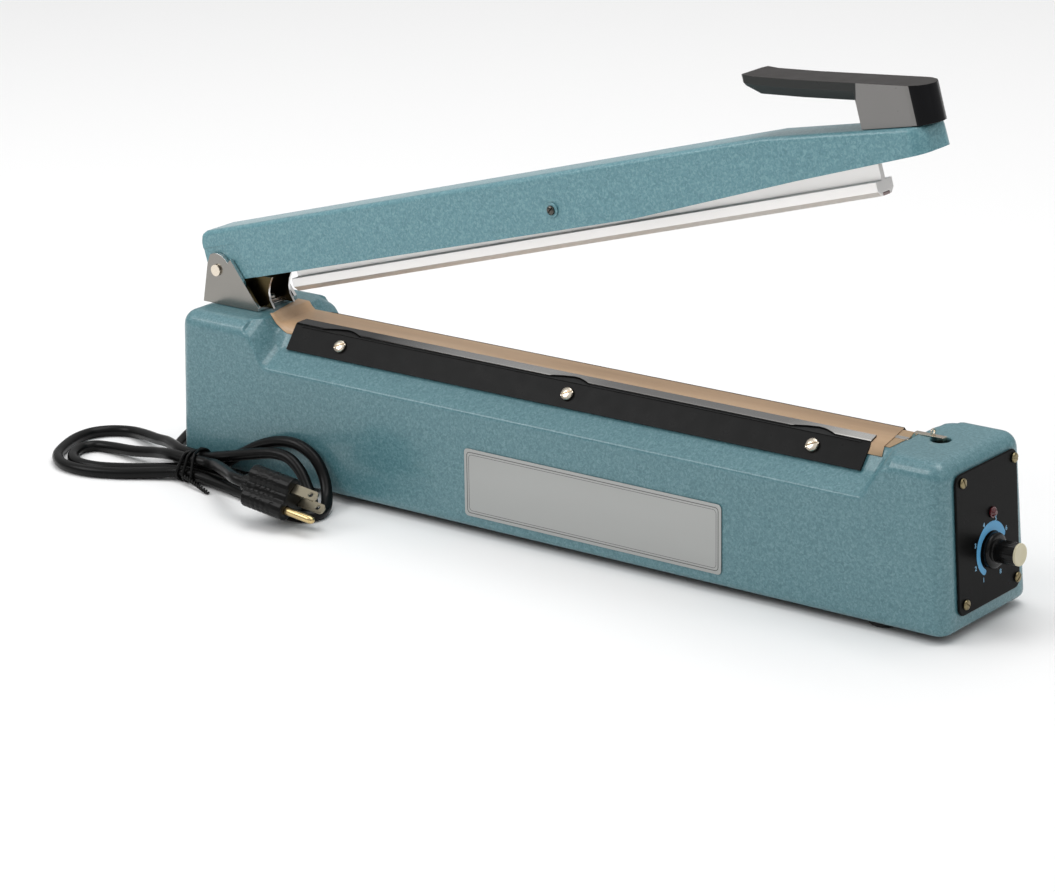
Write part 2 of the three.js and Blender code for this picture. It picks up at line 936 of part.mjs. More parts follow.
function stripScrewPlaces(rear) {
  return stripScrewXs.map((x) => {
    const place = slopePoint(slopeLength * strip.screwShare, strip.liftOff + strip.thickness + gap).setX(x);
    return rear ? mirrorY(place) : place;
  });
}
const stripScrewWay = (rear) => (rear ? mirrorY(slopeOut) : slopeOut.clone());

function housingBosses() {
  const low = cover.height + cover.thickness + gap;
  const top = platformHeight - seat.cavityDrop / 2;
  return [-bossX, bossX].map((x) => rod(vec(x, 0, low), vec(x, 0, top), cover.bossRadius, coarseSides));
}

function housingGeometry() {
  const shell = cut(housingShell(), seatSpace(0, 0));
  const cavity = cut(housingCavity(), seatSpace(housing.wall, seat.cavityDrop));
  const hollow = cut(shell, cavity);
  const blockTop = housing.height - housing.wall / 2;
  const springLug = block(
    springStartX + tensionSpring.length + gap,
    springStartX + tensionSpring.length + tensionSpring.lugThickness,
    terminal.holeY - tensionSpring.coilRadius,
    terminal.holeY + tensionSpring.coilRadius,
    springHeight - tensionSpring.lugHeight / 2,
    blockTop,
  );
  const switchRib = block(
    starterX - starter.switchLength / 2,
    starterX + starter.switchLength / 2,
    starter.switchHalfWidth + gap,
    starter.switchHalfWidth + gap + starter.ribThickness,
    switchTop - starter.switchHeight,
    blockTop,
  );
  const terminalPost = rod(
    vec(leftHoleX, stack.ribbonY + leftTerminal.blockWidth, terminalBlockHigh),
    vec(leftHoleX, stack.ribbonY + leftTerminal.blockWidth, platformHeight - housing.wall / 2),
    leftTerminal.postRadius,
    coarseSides,
  );
  const filled = join(hollow, ...housingBosses(), springLug, switchRib, terminalPost);
  const holes = [];
  for (const x of [-bossX, bossX]) {
    const top = vec(x, 0, cover.height + cover.screwLength + overrun);
    holes.push(rod(vec(x, 0, 0), top, cover.screwRadius + gap, coarseSides));
  }
  for (const rear of [false, true]) {
    for (const place of stripScrewPlaces(rear)) {
      const inwards = stripScrewWay(rear).negate();
      const end = place.clone().addScaledVector(inwards, strip.shankLength + overrun);
      holes.push(rod(place, end, strip.shankRadius + gap, coarseSides));
    }
  }
  for (const x of bracketScrewXs) {
    const low = housing.height - hinge.screwLength;
    const high = housing.height + overrun;
    holes.push(rod(vec(x, 0, low), vec(x, 0, high), hinge.screwRadius + gap, coarseSides));
  }
  const rodLow = vec(starterX, 0, switchTop + gap);
  const rodHigh = vec(starterX, 0, housing.height + overrun);
  holes.push(rod(rodLow, rodHigh, starter.rodRadius + gap, coarseSides));
  const tabLow = vec(terminalHoleX, terminal.holeY, housing.height - housing.wall - overrun);
  const tabHigh = vec(terminalHoleX, terminal.holeY, housing.height + overrun);
  holes.push(rod(tabLow, tabHigh, terminal.holeRadius, midSides));
  const leftLow = vec(leftHoleX, stack.ribbonY, platformHeight - seat.cavityDrop - overrun);
  const leftHigh = vec(leftHoleX, stack.ribbonY, platformHeight + overrun);
  holes.push(rod(leftLow, leftHigh, leftTerminal.holeRadius, coarseSides));
  const depth = housing.wall + overrun;
  const window = block(
    -panel.windowHalfWidth,
    panel.windowHalfWidth,
    upPanel(panel.windowLowShare),
    upPanel(panel.windowHighShare),
    -depth,
    overrun,
  ).applyMatrix4(rightFace);
  holes.push(window);
  for (const [y, height] of panelScrewPlaces()) {
    const deep = -panel.screwLength - overrun;
    const hole = rod(vec(y, height, deep), vec(y, height, overrun), panelHoleRadius, coarseSides);
    holes.push(hole.applyMatrix4(rightFace));
  }
  const nose = rod(
    vec(-housing.length / 2 - overrun, relief.y, relief.z),
    vec(-housing.length / 2 + housing.rimWall + overrun, relief.y, relief.z),
    relief.throatRadius + gap,
    midSides,
  );
  holes.push(nose);
  return cut(filled, ...holes);
}

const panelHoleRadius = panel.screwRadius + gap;
const terminalBlockHigh = platformHeight - seat.cavityDrop - leftTerminal.drop;
piece('housing', 'hammertone', housingGeometry());

// Bottom cover, its screws and the feet
function coverOutline() {
  const inset = housing.rimWall + gap;
  const z = cover.height + cover.thickness;
  const radius = housing.cornerRadius - housing.wall;
  return roundedRect(halfLengthAt(z) - inset, halfWidthAt(z) - inset, radius, cornerSteps);
}

const corners = [
  ['front_left', -1, -1],
  ['front_right', 1, -1],
  ['rear_left', -1, 1],
  ['rear_right', 1, 1],
];

function coverGeometry() {
  const holes = corners.map(([, sideX, sideY]) =>
    circle(sideX * footX, sideY * footY, foot.neckRadius + gap, coarseSides),
  );
  for (const x of [-bossX, bossX]) holes.push(circle(x, 0, cover.screwRadius + gap, coarseSides));
  return upright(coverOutline(), cover.height, cover.height + cover.thickness, holes);
}
piece('bottom_cover', 'darkIron', coverGeometry());

for (const [name, x] of [['left', -bossX], ['right', bossX]]) {
  const coverScrew = screw({
    headRadius: cover.headRadius,
    headHeight: cover.headHeight,
    radius: cover.screwRadius,
    length: cover.screwLength,
  });
  const coverScrewPlace = vec(x, 0, cover.height - gap);
  piece(`cover_screw_${name}`, 'zinc', aimed(coverScrew, coverScrewPlace, axisZ.clone().negate()));
}

const footTop = cover.height - gap;
const footProfile = [
  [0, -foot.height],
  [foot.radius - foot.edge, -foot.height],
  [foot.radius, foot.edge - foot.height],
  [foot.radius, footTop],
  [foot.neckRadius, footTop],
  [foot.neckRadius, cover.height + cover.thickness + gap],
  [foot.barbRadius, cover.height + cover.thickness + gap],
  [foot.neckRadius, cover.height + cover.thickness + gap + foot.barbHeight],
  [0, cover.height + cover.thickness + gap + foot.barbHeight],
];
for (const [name, sideX, sideY] of corners) {
  const rubber = turned(footProfile, midSides).translate(sideX * footX, sideY * footY, 0);
  piece(`foot_${name}`, 'blackRubber', rubber);
}

// Element stack: insulation, ribbon and sheet
const insulationLow = platformHeight + stack.step;
const insulationHigh = insulationLow + stack.insulationThickness;
const ribbonLow = insulationHigh + stack.step;
const ribbonHigh = ribbonLow + stack.ribbonThickness;
const sheetLow = ribbonHigh + stack.step;
const sheetHigh = sheetLow + stack.sheetThickness;

const insulation = block(
  elementLeft,
  elementRight,
  -stack.insulationHalfWidth,
  stack.insulationHalfWidth,
  insulationLow,
  insulationHigh,
);
piece('insulation_strip', 'insulation', insulation);
const ribbonNear = stack.ribbonY - stack.ribbonHalfWidth;
const ribbonFar = stack.ribbonY + stack.ribbonHalfWidth;
const ribbonEndX = leftHoleX;
const ribbonOutline = [
  [elementRight, ribbonHigh],
  [ribbonEndX, ribbonHigh],
  [ribbonEndX, terminalBlockHigh + gap],
  [ribbonEndX + stack.foldThickness, terminalBlockHigh + gap],
  [ribbonEndX + stack.foldThickness, ribbonLow],
  [elementRight, ribbonLow],
];
piece('heating_element', 'chrome', sideways(ribbonOutline, ribbonNear, ribbonFar));

function sheetGeometry() {
  const drapeShare = 1 - sheet.frontEdgeShare;
  const drape = slopePoint(slopeLength * sheet.frontEdgeShare, strip.liftOff - gap);
  const profile = [
    [sheetRearY, sheetHigh, 0],
    [-seat.platformHalfWidth, sheetHigh, 0],
    [drape.y, drape.z, drapeShare],
  ];
  const leftNear = seatLeft + sheet.leftNearInset;
  const blendEnd = seatLeft + seat.sideBlend;
  const straight = sheet.blendShares.map((share) => mix(leftNear + gap, blendEnd, share));
  const ends = [
    [leftNear, seatLeft - sheet.leftFarOverlap],
    ...straight.map((x) => [x, x]),
    [seatRight - sheet.rightNearInset, seatRight - sheet.rightFarInset],
  ];
  const rows = ends.map(([near, far]) =>
    profile.map(([y, z, share]) => {
      const x = mix(far, near, (sheetRearY - y) / (sheetRearY - drape.y));
      const lift = seatLiftAt(x, share);
      return vec(x, y, z + lift + (share > 0 ? Math.min(lift, sheet.blendLift) : 0));
    }),
  );
  return plate(rows, stack.sheetThickness);
}
piece('ptfe_sheet', 'tanSheet', sheetGeometry());

// Clamp strips: the front one ends in a lip over the sheet, the rear one is flat
const stripFoot = slopeLength * strip.footShare;
const stripOuter = strip.liftOff + strip.thickness;

function frontStripOutline() {
  const lipLow = sheetHigh + gap;
  const lipHigh = lipLow + strip.lipThickness;
  const alongFor = (z, out) => (z - shoulderHeight - slopeOut.z * out) / slopeUp.z;
  const innerBend = slopePoint(alongFor(lipLow, strip.liftOff), strip.liftOff);
  const outerBend = slopePoint(alongFor(lipHigh, stripOuter), stripOuter);
  const softStart = slopePoint(alongFor(lipLow, stripOuter), stripOuter);
  const footInner = slopePoint(-stripFoot, strip.liftOff);
  const footOuter = slopePoint(-stripFoot, stripOuter);
  return [
    [footOuter.y, footOuter.z],
    [footInner.y, footInner.z],
    [innerBend.y, innerBend.z],
    [-strip.lipRearY, lipLow],
    [-strip.lipRearY, lipHigh],
    [outerBend.y + strip.lipThickness, lipHigh],
    [mix(softStart.y, outerBend.y, 0.5), mix(softStart.z, outerBend.z, 0.5)],
    [softStart.y, softStart.z],
  ];
}

function rearStripOutline() {
  const corner = [
    slopePoint(-stripFoot, stripOuter),
    slopePoint(-stripFoot, strip.liftOff),
    slopePoint(slopeLength, strip.liftOff),
    slopePoint(slopeLength, stripOuter),
  ];
  return corner.map((p) => [-p.y, p.z]);
}

function stripHoles(rear) {
  const way = stripScrewWay(rear);
  return stripScrewPlaces(rear).map((place) => {
    const low = place.clone().addScaledVector(way, -stripOuter - overrun);
    const high = place.clone().addScaledVector(way, overrun);
    return rod(low, high, strip.shankRadius + gap, coarseSides);
  });
}
const chamferCut = upright(
  [
    [stripRight - strip.lipChamfer, overrun - strip.lipRearY],
    [stripRight + overrun, overrun - strip.lipRearY],
    [stripRight + overrun, -strip.lipFrontY],
    [stripRight, -strip.lipFrontY],
  ],
  shoulderHeight,
  housing.height,
);
const frontStrip = lengthways(frontStripOutline(), stripLeft, stripRight);
piece('clamp_strip_front', 'blackSteel', cut(frontStrip, chamferCut, ...stripHoles(false)));
const rearStrip = lengthways(rearStripOutline(), stripLeft, stripRight);
piece('clamp_strip_rear', 'blackSteel', cut(rearStrip, ...stripHoles(true)));

const screwNames = ['left', 'middle', 'right'];
for (const rear of [false, true]) {
  stripScrewPlaces(rear).forEach((place, i) => {
    const clampScrew = screw({
      headRadius: strip.headRadius,
      headHeight: strip.headHeight,
      radius: strip.shankRadius,
      length: strip.shankLength,
    });
    const side = rear ? 'rear' : 'front';
    piece(`clamp_screw_${side}_${screwNames[i]}`, 'zinc', aimed(clampScrew, place, stripScrewWay(rear)));
  });
}

// Insulating block under the platform, which holds the folded left end of the ribbon
const postReach = leftTerminal.blockWidth + leftTerminal.postRadius;
const terminalBlock = block(
  ribbonEndX - leftTerminal.blockLength / 2,
  ribbonEndX + leftTerminal.blockLength / 2,
  stack.ribbonY - leftTerminal.blockWidth / 2,
  stack.ribbonY + postReach,
  terminalBlockHigh - gap - leftTerminal.blockHeight,
  terminalBlockHigh - gap,
);
piece('terminal_block', 'ivoryPlastic', terminalBlock);

const terminalNear = stack.ribbonY - terminal.width / 2;
const terminalFar = stack.ribbonY + terminal.width / 2;

// Right terminal: a tab, an upright ring and a hook down the hole in the end block
function rightTerminalGeometry() {
  const low = housing.height + gap;
  const high = low + terminal.thickness;
  const flatLow = ribbonLow;
  const start = elementRight + gap;
  const hookRight = springStartX - gap;
  const outline = [
    [start, ribbonHigh],
    [start, flatLow],
    [riseStart, flatLow],
    [riseEnd + terminal.thickness, low],
    [hookX, low],
    [hookX, housing.height - terminal.hookDepth],
    [hookRight, housing.height - terminal.hookDepth],
    [hookRight, high],
    [riseEnd, high],
    [riseStart - terminal.thickness, ribbonHigh],
  ];
  const tab = sideways(outline, terminalNear, terminalFar);
  const ringZ = high + terminal.ringLift;
  const disc = (radius, reach) =>
    rod(
      vec(ringX - reach, stack.ribbonY, ringZ),
      vec(ringX + reach, stack.ribbonY, ringZ),
      radius,
      coarseSides,
    );
  const ring = cut(disc(terminal.ringRadius, terminal.thickness), disc(terminal.ringBore, overrun));
  return join(tab, ring);
}
piece('terminal_right', 'zinc', rightTerminalGeometry());

// Tension spring: hooked behind the terminal, against a lug of the housing
function helix({ radius, turnCount, pitch, wireSteps }) {
  const points = [];
  const steps = turnCount * wireSteps;
  for (let i = 0; i <= steps; i += 1) {
    const angle = (2 * Math.PI * i) / wireSteps;
    points.push(vec(radius * Math.cos(angle), radius * Math.sin(angle), (pitch * i) / wireSteps));
  }
  return points;
}

function tensionSpringGeometry() {
  const pitch = tensionSpring.length / tensionSpring.turnCount;
  const coil = helix({
    radius: tensionSpring.coilRadius,
    turnCount: tensionSpring.turnCount,
    pitch: pitch - (2 * tensionSpring.wireRadius + gap) / tensionSpring.turnCount,
    wireSteps: 8,
  });
  const tube = tubeThrough(coil, tensionSpring.wireRadius, 5);
  const place = vec(springStartX, terminal.holeY, springHeight);
  const reach = tensionSpring.wireRadius;
  return aimed(tube, place.addScaledVector(axisX, reach), axisX);
}
piece('tension_spring', 'zinc', tensionSpringGeometry());

// Hinge bracket: a base plate with two ears, one solid
const bracketLow = housing.height + gap;
const bracketHigh = bracketLow + hinge.baseThickness;
const earInner = hinge.earOuter - hinge.earThickness;

function earOutline() {
  return [
    [earBackX, bracketLow],
    [earFrontX, bracketLow],
    [earFrontX, bracketHigh],
    [hingeX + hinge.earFrontWaist, hingeZ + hinge.earFrontWaistRise],
    ...arc(hingeX, hingeZ, hinge.earTopRadius, 32, 118, 5),
    [hingeX - hinge.earBackWaist, hingeZ + hinge.earBackWaistRise],
  ];
}

function hingeBracketGeometry() {
  const pinHole = circle(hingeX, hingeZ, hinge.pinRadius + gap, midSides);
  const near = sideways(earOutline(), -hinge.earOuter, -earInner, [pinHole]);
  const far = sideways(earOutline(), earInner, hinge.earOuter, [pinHole]);
  const inner = earInner + hinge.earThickness / 2;
  const base = block(earBackX, earFrontX, -inner, inner, bracketLow, bracketHigh);
  return cut(join(base, near, far), ...baseHoles(bracketLow, bracketHigh));
}

function baseHoles(low, high) {
  const holes = bracketScrewXs.map((x) =>
    rod(vec(x, 0, low - overrun), vec(x, 0, high + overrun), hinge.screwRadius + gap, coarseSides),
  );
  const rodLow = vec(starterX, 0, low - overrun);
  const rodHigh = vec(starterX, 0, high + overrun);
  holes.push(rod(rodLow, rodHigh, starter.rodRadius + gap, coarseSides));
  return holes;
}
piece('hinge_bracket', 'chrome', hingeBracketGeometry());

// Inner bracket: two plates with a hollow front edge, seated on the base plate
const innerLow = bracketHigh + gap;
const innerHigh = innerLow + innerBracket.thickness;

function innerBracketGeometry() {
  const frontTop = hingeX + innerBracket.frontTop;
  const frontMid = hingeX + innerBracket.frontMid;
  const frontLow = hingeX + innerBracket.frontLow;
  const rearZ = hingeZ - innerBracket.rearDrop;
  const outline = [
    [innerBackX, innerLow],
    [innerFrontX, innerLow],
    [earFrontX + gap, innerLow],
    [earFrontX + gap, innerLowZ],
    [frontLow, innerLowZ],
    [mix(frontLow, frontMid, 0.8), mix(innerLowZ, innerTopZ, 0.25)],
    [frontMid, mix(innerLowZ, innerTopZ, 0.5)],
    [mix(frontTop, frontMid, 0.7), mix(innerLowZ, innerTopZ, 0.75)],
    [frontTop, innerTopZ],
    [hingeX + innerBracket.rearTop, innerTopZ],
    [hingeX + returnSpring.coilRadius, rearZ],
    [innerBackX, rearZ],
  ];
  const inner = innerBracket.outer - innerBracket.thickness;
  const near = sideways(outline, -innerBracket.outer, -inner);
  const far = sideways(outline, inner, innerBracket.outer);
  const middle = inner + innerBracket.thickness / 2;
  const base = block(innerBackX, innerFrontX, -middle, middle, innerLow, innerHigh);
  return cut(join(base, near, far), ...baseHoles(innerLow, innerHigh));
}
piece('inner_bracket', 'zinc', innerBracketGeometry());

bracketScrewXs.forEach((x, i) => {
  const bracketScrew = screw({
    headRadius: hinge.headRadius,
    headHeight: hinge.headHeight,
    radius: hinge.screwRadius,
    length: hinge.screwLength,
  });
  const place = vec(x, 0, innerHigh + gap);
  piece(`bracket_screw_${i === 0 ? 'rear' : 'front'}`, 'zinc', aimed(bracketScrew, place, axisZ));
});

const pinReach = hinge.earOuter + gap;
const pinEnd = pinReach + hinge.pinHeadHeight;
const pinProfile = [
  [0, -pinEnd],
  [hinge.pinHeadRadius, -pinEnd],
  [hinge.pinHeadRadius, -pinReach],
  [hinge.pinRadius, -pinReach],
  [hinge.pinRadius, pinReach],
  [hinge.pinHeadRadius, pinReach],
  [hinge.pinHeadRadius, pinEnd],
  [0, pinEnd],
];
piece('hinge_pin', 'chrome', aimed(turned(pinProfile, midSides), vec(hingeX, 0, hingeZ), axisY));

// Arm frame: x is u, z is v
const armFrame = new THREE.Matrix4()
  .makeRotationY(-rad(arm.raisedDegrees))
  .setPosition(hingeX, 0, hingeZ);

function armTopAt(u) {
  const slope = (arm.tipTopV - arm.topV) / arm.slopeRun;
  return arm.topV + slope * Math.max(u - slopeStartU, 0);
}

function armLowAt(u) {
  const share = THREE.MathUtils.clamp((u - liftStartU) / (armTipU - liftStartU), 0, 1);
  const eased = arm.liftShare * share + (1 - arm.liftShare) * share * share;
  return mix(arm.lowV, arm.tipLowV, eased);
}

function armHalfWidthAt(v) {
  return mix(arm.bottomHalfWidth, arm.topHalfWidth, (v - arm.lowV) / (arm.topV - arm.lowV));
}

function armRing(u) {
  const tipInset = roundInset(arm.noseRadius, armTipU - u);
  const topInset = roundInset(arm.edgeRadius, armTipU - u) + roundInset(arm.rearRadius, u - arm.rearU);
  const low = armLowAt(u);
  const top = armTopAt(u) - topInset;
  const soft = top - arm.edgeRadius;
  const lowHalf = armHalfWidthAt(low) - tipInset;
  const softHalf = armHalfWidthAt(soft) - tipInset;
  const edge = arc(softHalf - arm.edgeRadius, soft, arm.edgeRadius, 30, 90, 2);
  const half = [[lowHalf, low], [softHalf, soft], ...edge];
  const mirrored = half.map(([y, v]) => [-y, v]).reverse();
  return [...half, ...mirrored].map(([y, v]) => vec(u, y, v));
}

function armStations() {
  const rear = [0, 0.3, 1].map((share) => arm.rearU + arm.rearRadius * share);
  const lift = [0, 0.2, 0.4, 0.6, 0.8].map((share) => mix(liftStartU, armTipU - arm.noseRadius, share));
  const nose = [0, 25, 50, 70, 90].map((angle) => armTipU - arm.noseRadius * (1 - Math.sin(rad(angle))));
  return [...rear, ...lift, slopeStartU, ...nose].sort((a, b) => a - b);
}

function armGeometry() {
  const body = loft(armStations().map(armRing), byYZ);
  const channelStations = [arm.rearU + arm.wall, slopeStartU, armTipU - arm.noseWall];
  const channel = loft(
    channelStations.map((u) => {
      const half = arm.channelHalfWidth;
      const low = arm.lowV - overrun;
      const top = armTopAt(u) - arm.wall;
      return [vec(u, -half, low), vec(u, half, low), vec(u, half, top), vec(u, -half, top)];
    }),
    byYZ,
  );
  const recessOutline = [
    [arm.rearU - overrun, arm.lowV - overrun],
    [arm.recessLowU, arm.lowV - overrun],
    [arm.recessTopU, arm.recessTopV],
    [arm.rearU - overrun, arm.recessTopV],
  ];
  const side = arm.bottomHalfWidth + overrun;
  const nearRecess = sideways(recessOutline, -side, -arm.recessHalfWidth);
  const farRecess = sideways(recessOutline, arm.recessHalfWidth, side);
  const pinHole = rod(vec(0, -side, 0), vec(0, side, 0), hinge.pinRadius + gap, midSides);
  const screwHole = rod(
    vec(barScrewU, -side, bar.screwV),
    vec(barScrewU, side, bar.screwV),
    crossScrew.radius + gap,
    midSides,
  );
  const handleHole = rod(
    vec(handleScrewU, 0, 0),
    vec(handleScrewU, 0, arm.topV + overrun),
    handle.screwRadius + gap,
    coarseSides,
  );
  const hollow = cut(body, channel, nearRecess, farRecess, pinHole, screwHole, handleHole);
  return hollow.applyMatrix4(armFrame);
}
piece('arm', 'hammertone', armGeometry());

// Return spring: a coil round the pin, one leg up to the arm's roof and one down to the inner bracket
function returnSpringGeometry() {
  const half = (returnSpring.turnCount * returnSpring.pitch) / 2;
  const coil = helix({
    radius: returnSpring.coilRadius,
    turnCount: returnSpring.turnCount,
    pitch: returnSpring.pitch,
    wireSteps: 8,
  });
  const turn = new THREE.Matrix4().makeBasis(axisX, axisZ.clone().negate(), axisY);
  const wound = coil.map((p) => p.applyMatrix4(turn).add(vec(hingeX, -half, hingeZ)));
  const lean = rad(arm.raisedDegrees);
  const armWay = vec(Math.cos(lean), 0, Math.sin(lean));
  const armUp = vec(-Math.sin(lean), 0, Math.cos(lean));
  const first = wound[0];
  const last = wound.at(-1);
  const roof = armTopAt(0) - arm.wall - returnSpring.wireRadius - gap;
  const roofPoint = vec(hingeX, last.y, hingeZ)
    .addScaledVector(armWay, returnSpring.armLegLength)
    .addScaledVector(armUp, roof);
  const floor = innerHigh + returnSpring.wireRadius + gap;
  const floorPoint = vec(hingeX + returnSpring.baseLegLength, first.y, floor);
  return tubeThrough([floorPoint, ...wound, roofPoint], returnSpring.wireRadius, 5);
}
piece('return_spring', 'zinc', returnSpringGeometry());

// Handle: a grip that tapers down to a rounded nose, on a post
function handleTopAt(u) {
  if (u <= handleKneeU) {
    return mix(handle.rearV, handle.kneeV, (u - handleRearU) / (handleKneeU - handleRearU));
  }
  const slope = (handle.frontV - handle.kneeV) / (handleFrontU - handleKneeU);
  return handle.kneeV + slope * (u - handleKneeU);
}
const gripHeight = handle.sideHeight + handle.chamferHeight;

function gripRing(u, top, height, half) {
  const side = top - Math.min(handle.sideHeight, height);
  const bottom = top - height;
  const chamferShare = THREE.MathUtils.clamp((height - handle.sideHeight) / handle.chamferHeight, 0, 1);
  const chamfer = handle.chamferDepth * chamferShare;
  const points = [
    [half - chamfer, bottom],
    [half, side],
    [half, top],
    [-half, top],
    [-half, side],
    [chamfer - half, bottom],
  ];
  return points.map(([y, v]) => vec(u, y, v));
}

function handleGeometry() {
  const rearHeight = handle.sideHeight;
  const frontEnd = handleNoseU + handle.halfWidth;
  const rearBend = mix(handleRearU, handleRearBottomU, 0.3);
  const grip = loft(
    [
      gripRing(handleRearU, handleTopAt(handleRearU), rearHeight, handle.halfWidth - handle.rearTipRound),
      gripRing(rearBend, handleTopAt(handleRearU), gripHeight * 0.62, handle.halfWidth),
      gripRing(handleRearBottomU, handleTopAt(handleRearBottomU), gripHeight, handle.halfWidth),
      gripRing(handleKneeU, handle.kneeV, gripHeight, handle.halfWidth),
      gripRing(handleNoseU, handleTopAt(handleNoseU), gripHeight, handle.halfWidth),
    ],
    byYZ,
  );
  const plan = [
    [handlePostU, -handle.halfWidth],
    [handleNoseU, -handle.halfWidth],
    ...arc(handleNoseU, 0, handle.halfWidth, -75, 75, 6),
    [handleNoseU, handle.halfWidth],
    [handlePostU, handle.halfWidth],
  ];
  const post = upright(plan, 0, handle.rearV);
  const seatLine = [
    [handlePostU - overrun, armTopAt(handlePostU - overrun) + gap],
    [frontEnd + overrun, armTopAt(frontEnd + overrun) + gap],
    [frontEnd + overrun, handleTopAt(frontEnd + overrun)],
    [handlePostU - overrun, handleTopAt(handlePostU - overrun)],
  ];
  const side = handle.halfWidth + overrun;
  const trimmed = common(post, sideways(seatLine, -side, side));
  const low = armTopAt(handleScrewU) - overrun;
  const hole = rod(
    vec(handleScrewU, 0, low),
    vec(handleScrewU, 0, low + handle.screwLength + overrun),
    handle.screwRadius + gap,
    coarseSides,
  );
  return cut(join(grip, trimmed), hole).applyMatrix4(armFrame);
}
piece('handle', 'blackPlastic', handleGeometry());

const handleScrew = screw({
  headRadius: handle.headRadius,
  headHeight: handle.headHeight,
  radius: handle.screwRadius,
  length: handle.screwLength,
});
const handleScrewPlace = vec(handleScrewU, 0, armTopAt(handleScrewU) - arm.wall - gap);
const handleScrewFitted = aimed(handleScrew, handleScrewPlace, axisZ.clone().negate()).applyMatrix4(armFrame);
piece('handle_screw', 'zinc', handleScrewFitted);

// Pressure bar frame: the cross screw is its origin
const barFrame = armFrame
  .clone()
  .multiply(new THREE.Matrix4().makeTranslation(barScrewU, 0, bar.screwV))
  .multiply(new THREE.Matrix4().makeRotationY(-rad(bar.tiltDegrees)));

const barLow = -bar.depth;
const footTopV = barLow + bar.footHeight;
const barHalf = [
  [bar.siliconeHalfWidth + gap, barLow],
  [bar.footHalfWidth - bar.chamfer, barLow],
  [bar.footHalfWidth, barLow + bar.chamfer],
  [bar.footHalfWidth, footTopV],
  [bar.webHalfWidth, footTopV],
  [bar.webHalfWidth, barLow + bar.height],
];
const grooveHigh = barLow + bar.siliconeHeight;
const barOutline = [
  ...barHalf,
  ...barHalf.map(([y, z]) => [-y, z]).reverse(),
  [-bar.siliconeHalfWidth - gap, grooveHigh + gap],
  [bar.siliconeHalfWidth + gap, grooveHigh + gap],
];

function barGeometry() {
  const body = lengthways(barOutline, -barLeftReach, barRightReach);
  const side = bar.webHalfWidth;
  const lugTop = hanger.top - hanger.sideThickness - gap;
  const lug = block(-hanger.lugHalfLength, hanger.lugHalfLength, -side, side, footTopV, lugTop);
  const boreRadius = crossScrew.radius + gap;
  const bore = rod(vec(0, -bar.footHalfWidth, 0), vec(0, bar.footHalfWidth, 0), boreRadius, midSides);
  return cut(join(body, lug), bore).applyMatrix4(barFrame);
}
piece('pressure_bar', 'brightAluminium', barGeometry());

const silicone = block(
  -barLeftReach,
  barRightReach,
  -bar.siliconeHalfWidth,
  bar.siliconeHalfWidth,
  barLow,
  grooveHigh,
).applyMatrix4(barFrame);
piece('silicone_strip', 'silicone', silicone);

// Hanger: a saddle over the bar's web, held with it by the cross screw
function hangerGeometry() {
  const inner = bar.webHalfWidth + gap;
  const outer = inner + hanger.sideThickness;
  const roof = hanger.top - hanger.sideThickness;
  const outline = [
    [-outer, hanger.low],
    [-inner, hanger.low],
    [-inner, roof],
    [inner, roof],
    [inner, hanger.low],
    [outer, hanger.low],
    [outer, hanger.top],
    [-outer, hanger.top],
  ];
  const body = lengthways(outline, -hanger.halfLength, hanger.halfLength);
  const reach = outer + overrun;
  const bore = rod(vec(0, -reach, 0), vec(0, reach, 0), crossScrew.radius + gap, midSides);
  return cut(body, bore).applyMatrix4(barFrame);
}
piece('bar_hanger', 'zinc', hangerGeometry());

// Cross screw through both walls of the arm, with a nut behind
const armSide = armHalfWidthAt(bar.screwV) + gap;
const crossLength = 2 * armSide + crossScrew.nutHeight + gap + crossScrew.tail;
const crossBody = screw({
  headRadius: crossScrew.headRadius,
  headHeight: crossScrew.headHeight,
  radius: crossScrew.radius,
  length: crossLength,
});
const crossPlace = vec(barScrewU, -armSide, bar.screwV);
piece('cross_screw', 'zinc', aimed(crossBody, crossPlace, axisY.clone().negate()).applyMatrix4(armFrame));
const nut = upright(
  circle(0, 0, crossScrew.nutRadius, 6),
  0,
  crossScrew.nutHeight,
  [circle(0, 0, crossScrew.radius + gap, coarseSides)],
);
const nutPlace = vec(barScrewU, armSide, bar.screwV);
piece('cross_nut', 'zinc', closed(aimed(nut, nutPlace, axisY).applyMatrix4(armFrame)));

// Control panel, drawn on the right face: x is world Y and y runs up the face
function panelOutline() {
  const middle = (panelTop + panel.bottom) / 2;
  const outline = roundedRect(panelHalfWidth, (panelTop - panel.bottom) / 2, panel.radius, cornerSteps);
  return outline.map(([x, y]) => [x, y + middle]);
}
const panelHoles = [
  ...panelScrewPlaces().map(([y, height]) => circle(y, height, panelHoleRadius, coarseSides)),
  circle(panel.ledY, ledHeight, led.radius + gap, midSides),
  circle(knob.y, knobHeight, pot.bushRadius + gap, midSides),
];
const panelPlate = upright(panelOutline(), gap, panel.proud, panelHoles);
piece('control_panel', 'blackPlastic', panelPlate.applyMatrix4(rightFace));

const panelScrewNames = ['near_low', 'near_high', 'far_low', 'far_high'];
panelScrewPlaces().forEach(([y, height], i) => {
  const panelScrew = screw({
    headRadius: panel.headRadius,
    headHeight: panel.headHeight,
    radius: panel.screwRadius,
    length: panel.screwLength,
  });
  const fitted = panelScrew.translate(y, height, panel.proud + gap).applyMatrix4(rightFace);
  piece(`panel_screw_${panelScrewNames[i]}`, 'brass', fitted);
});

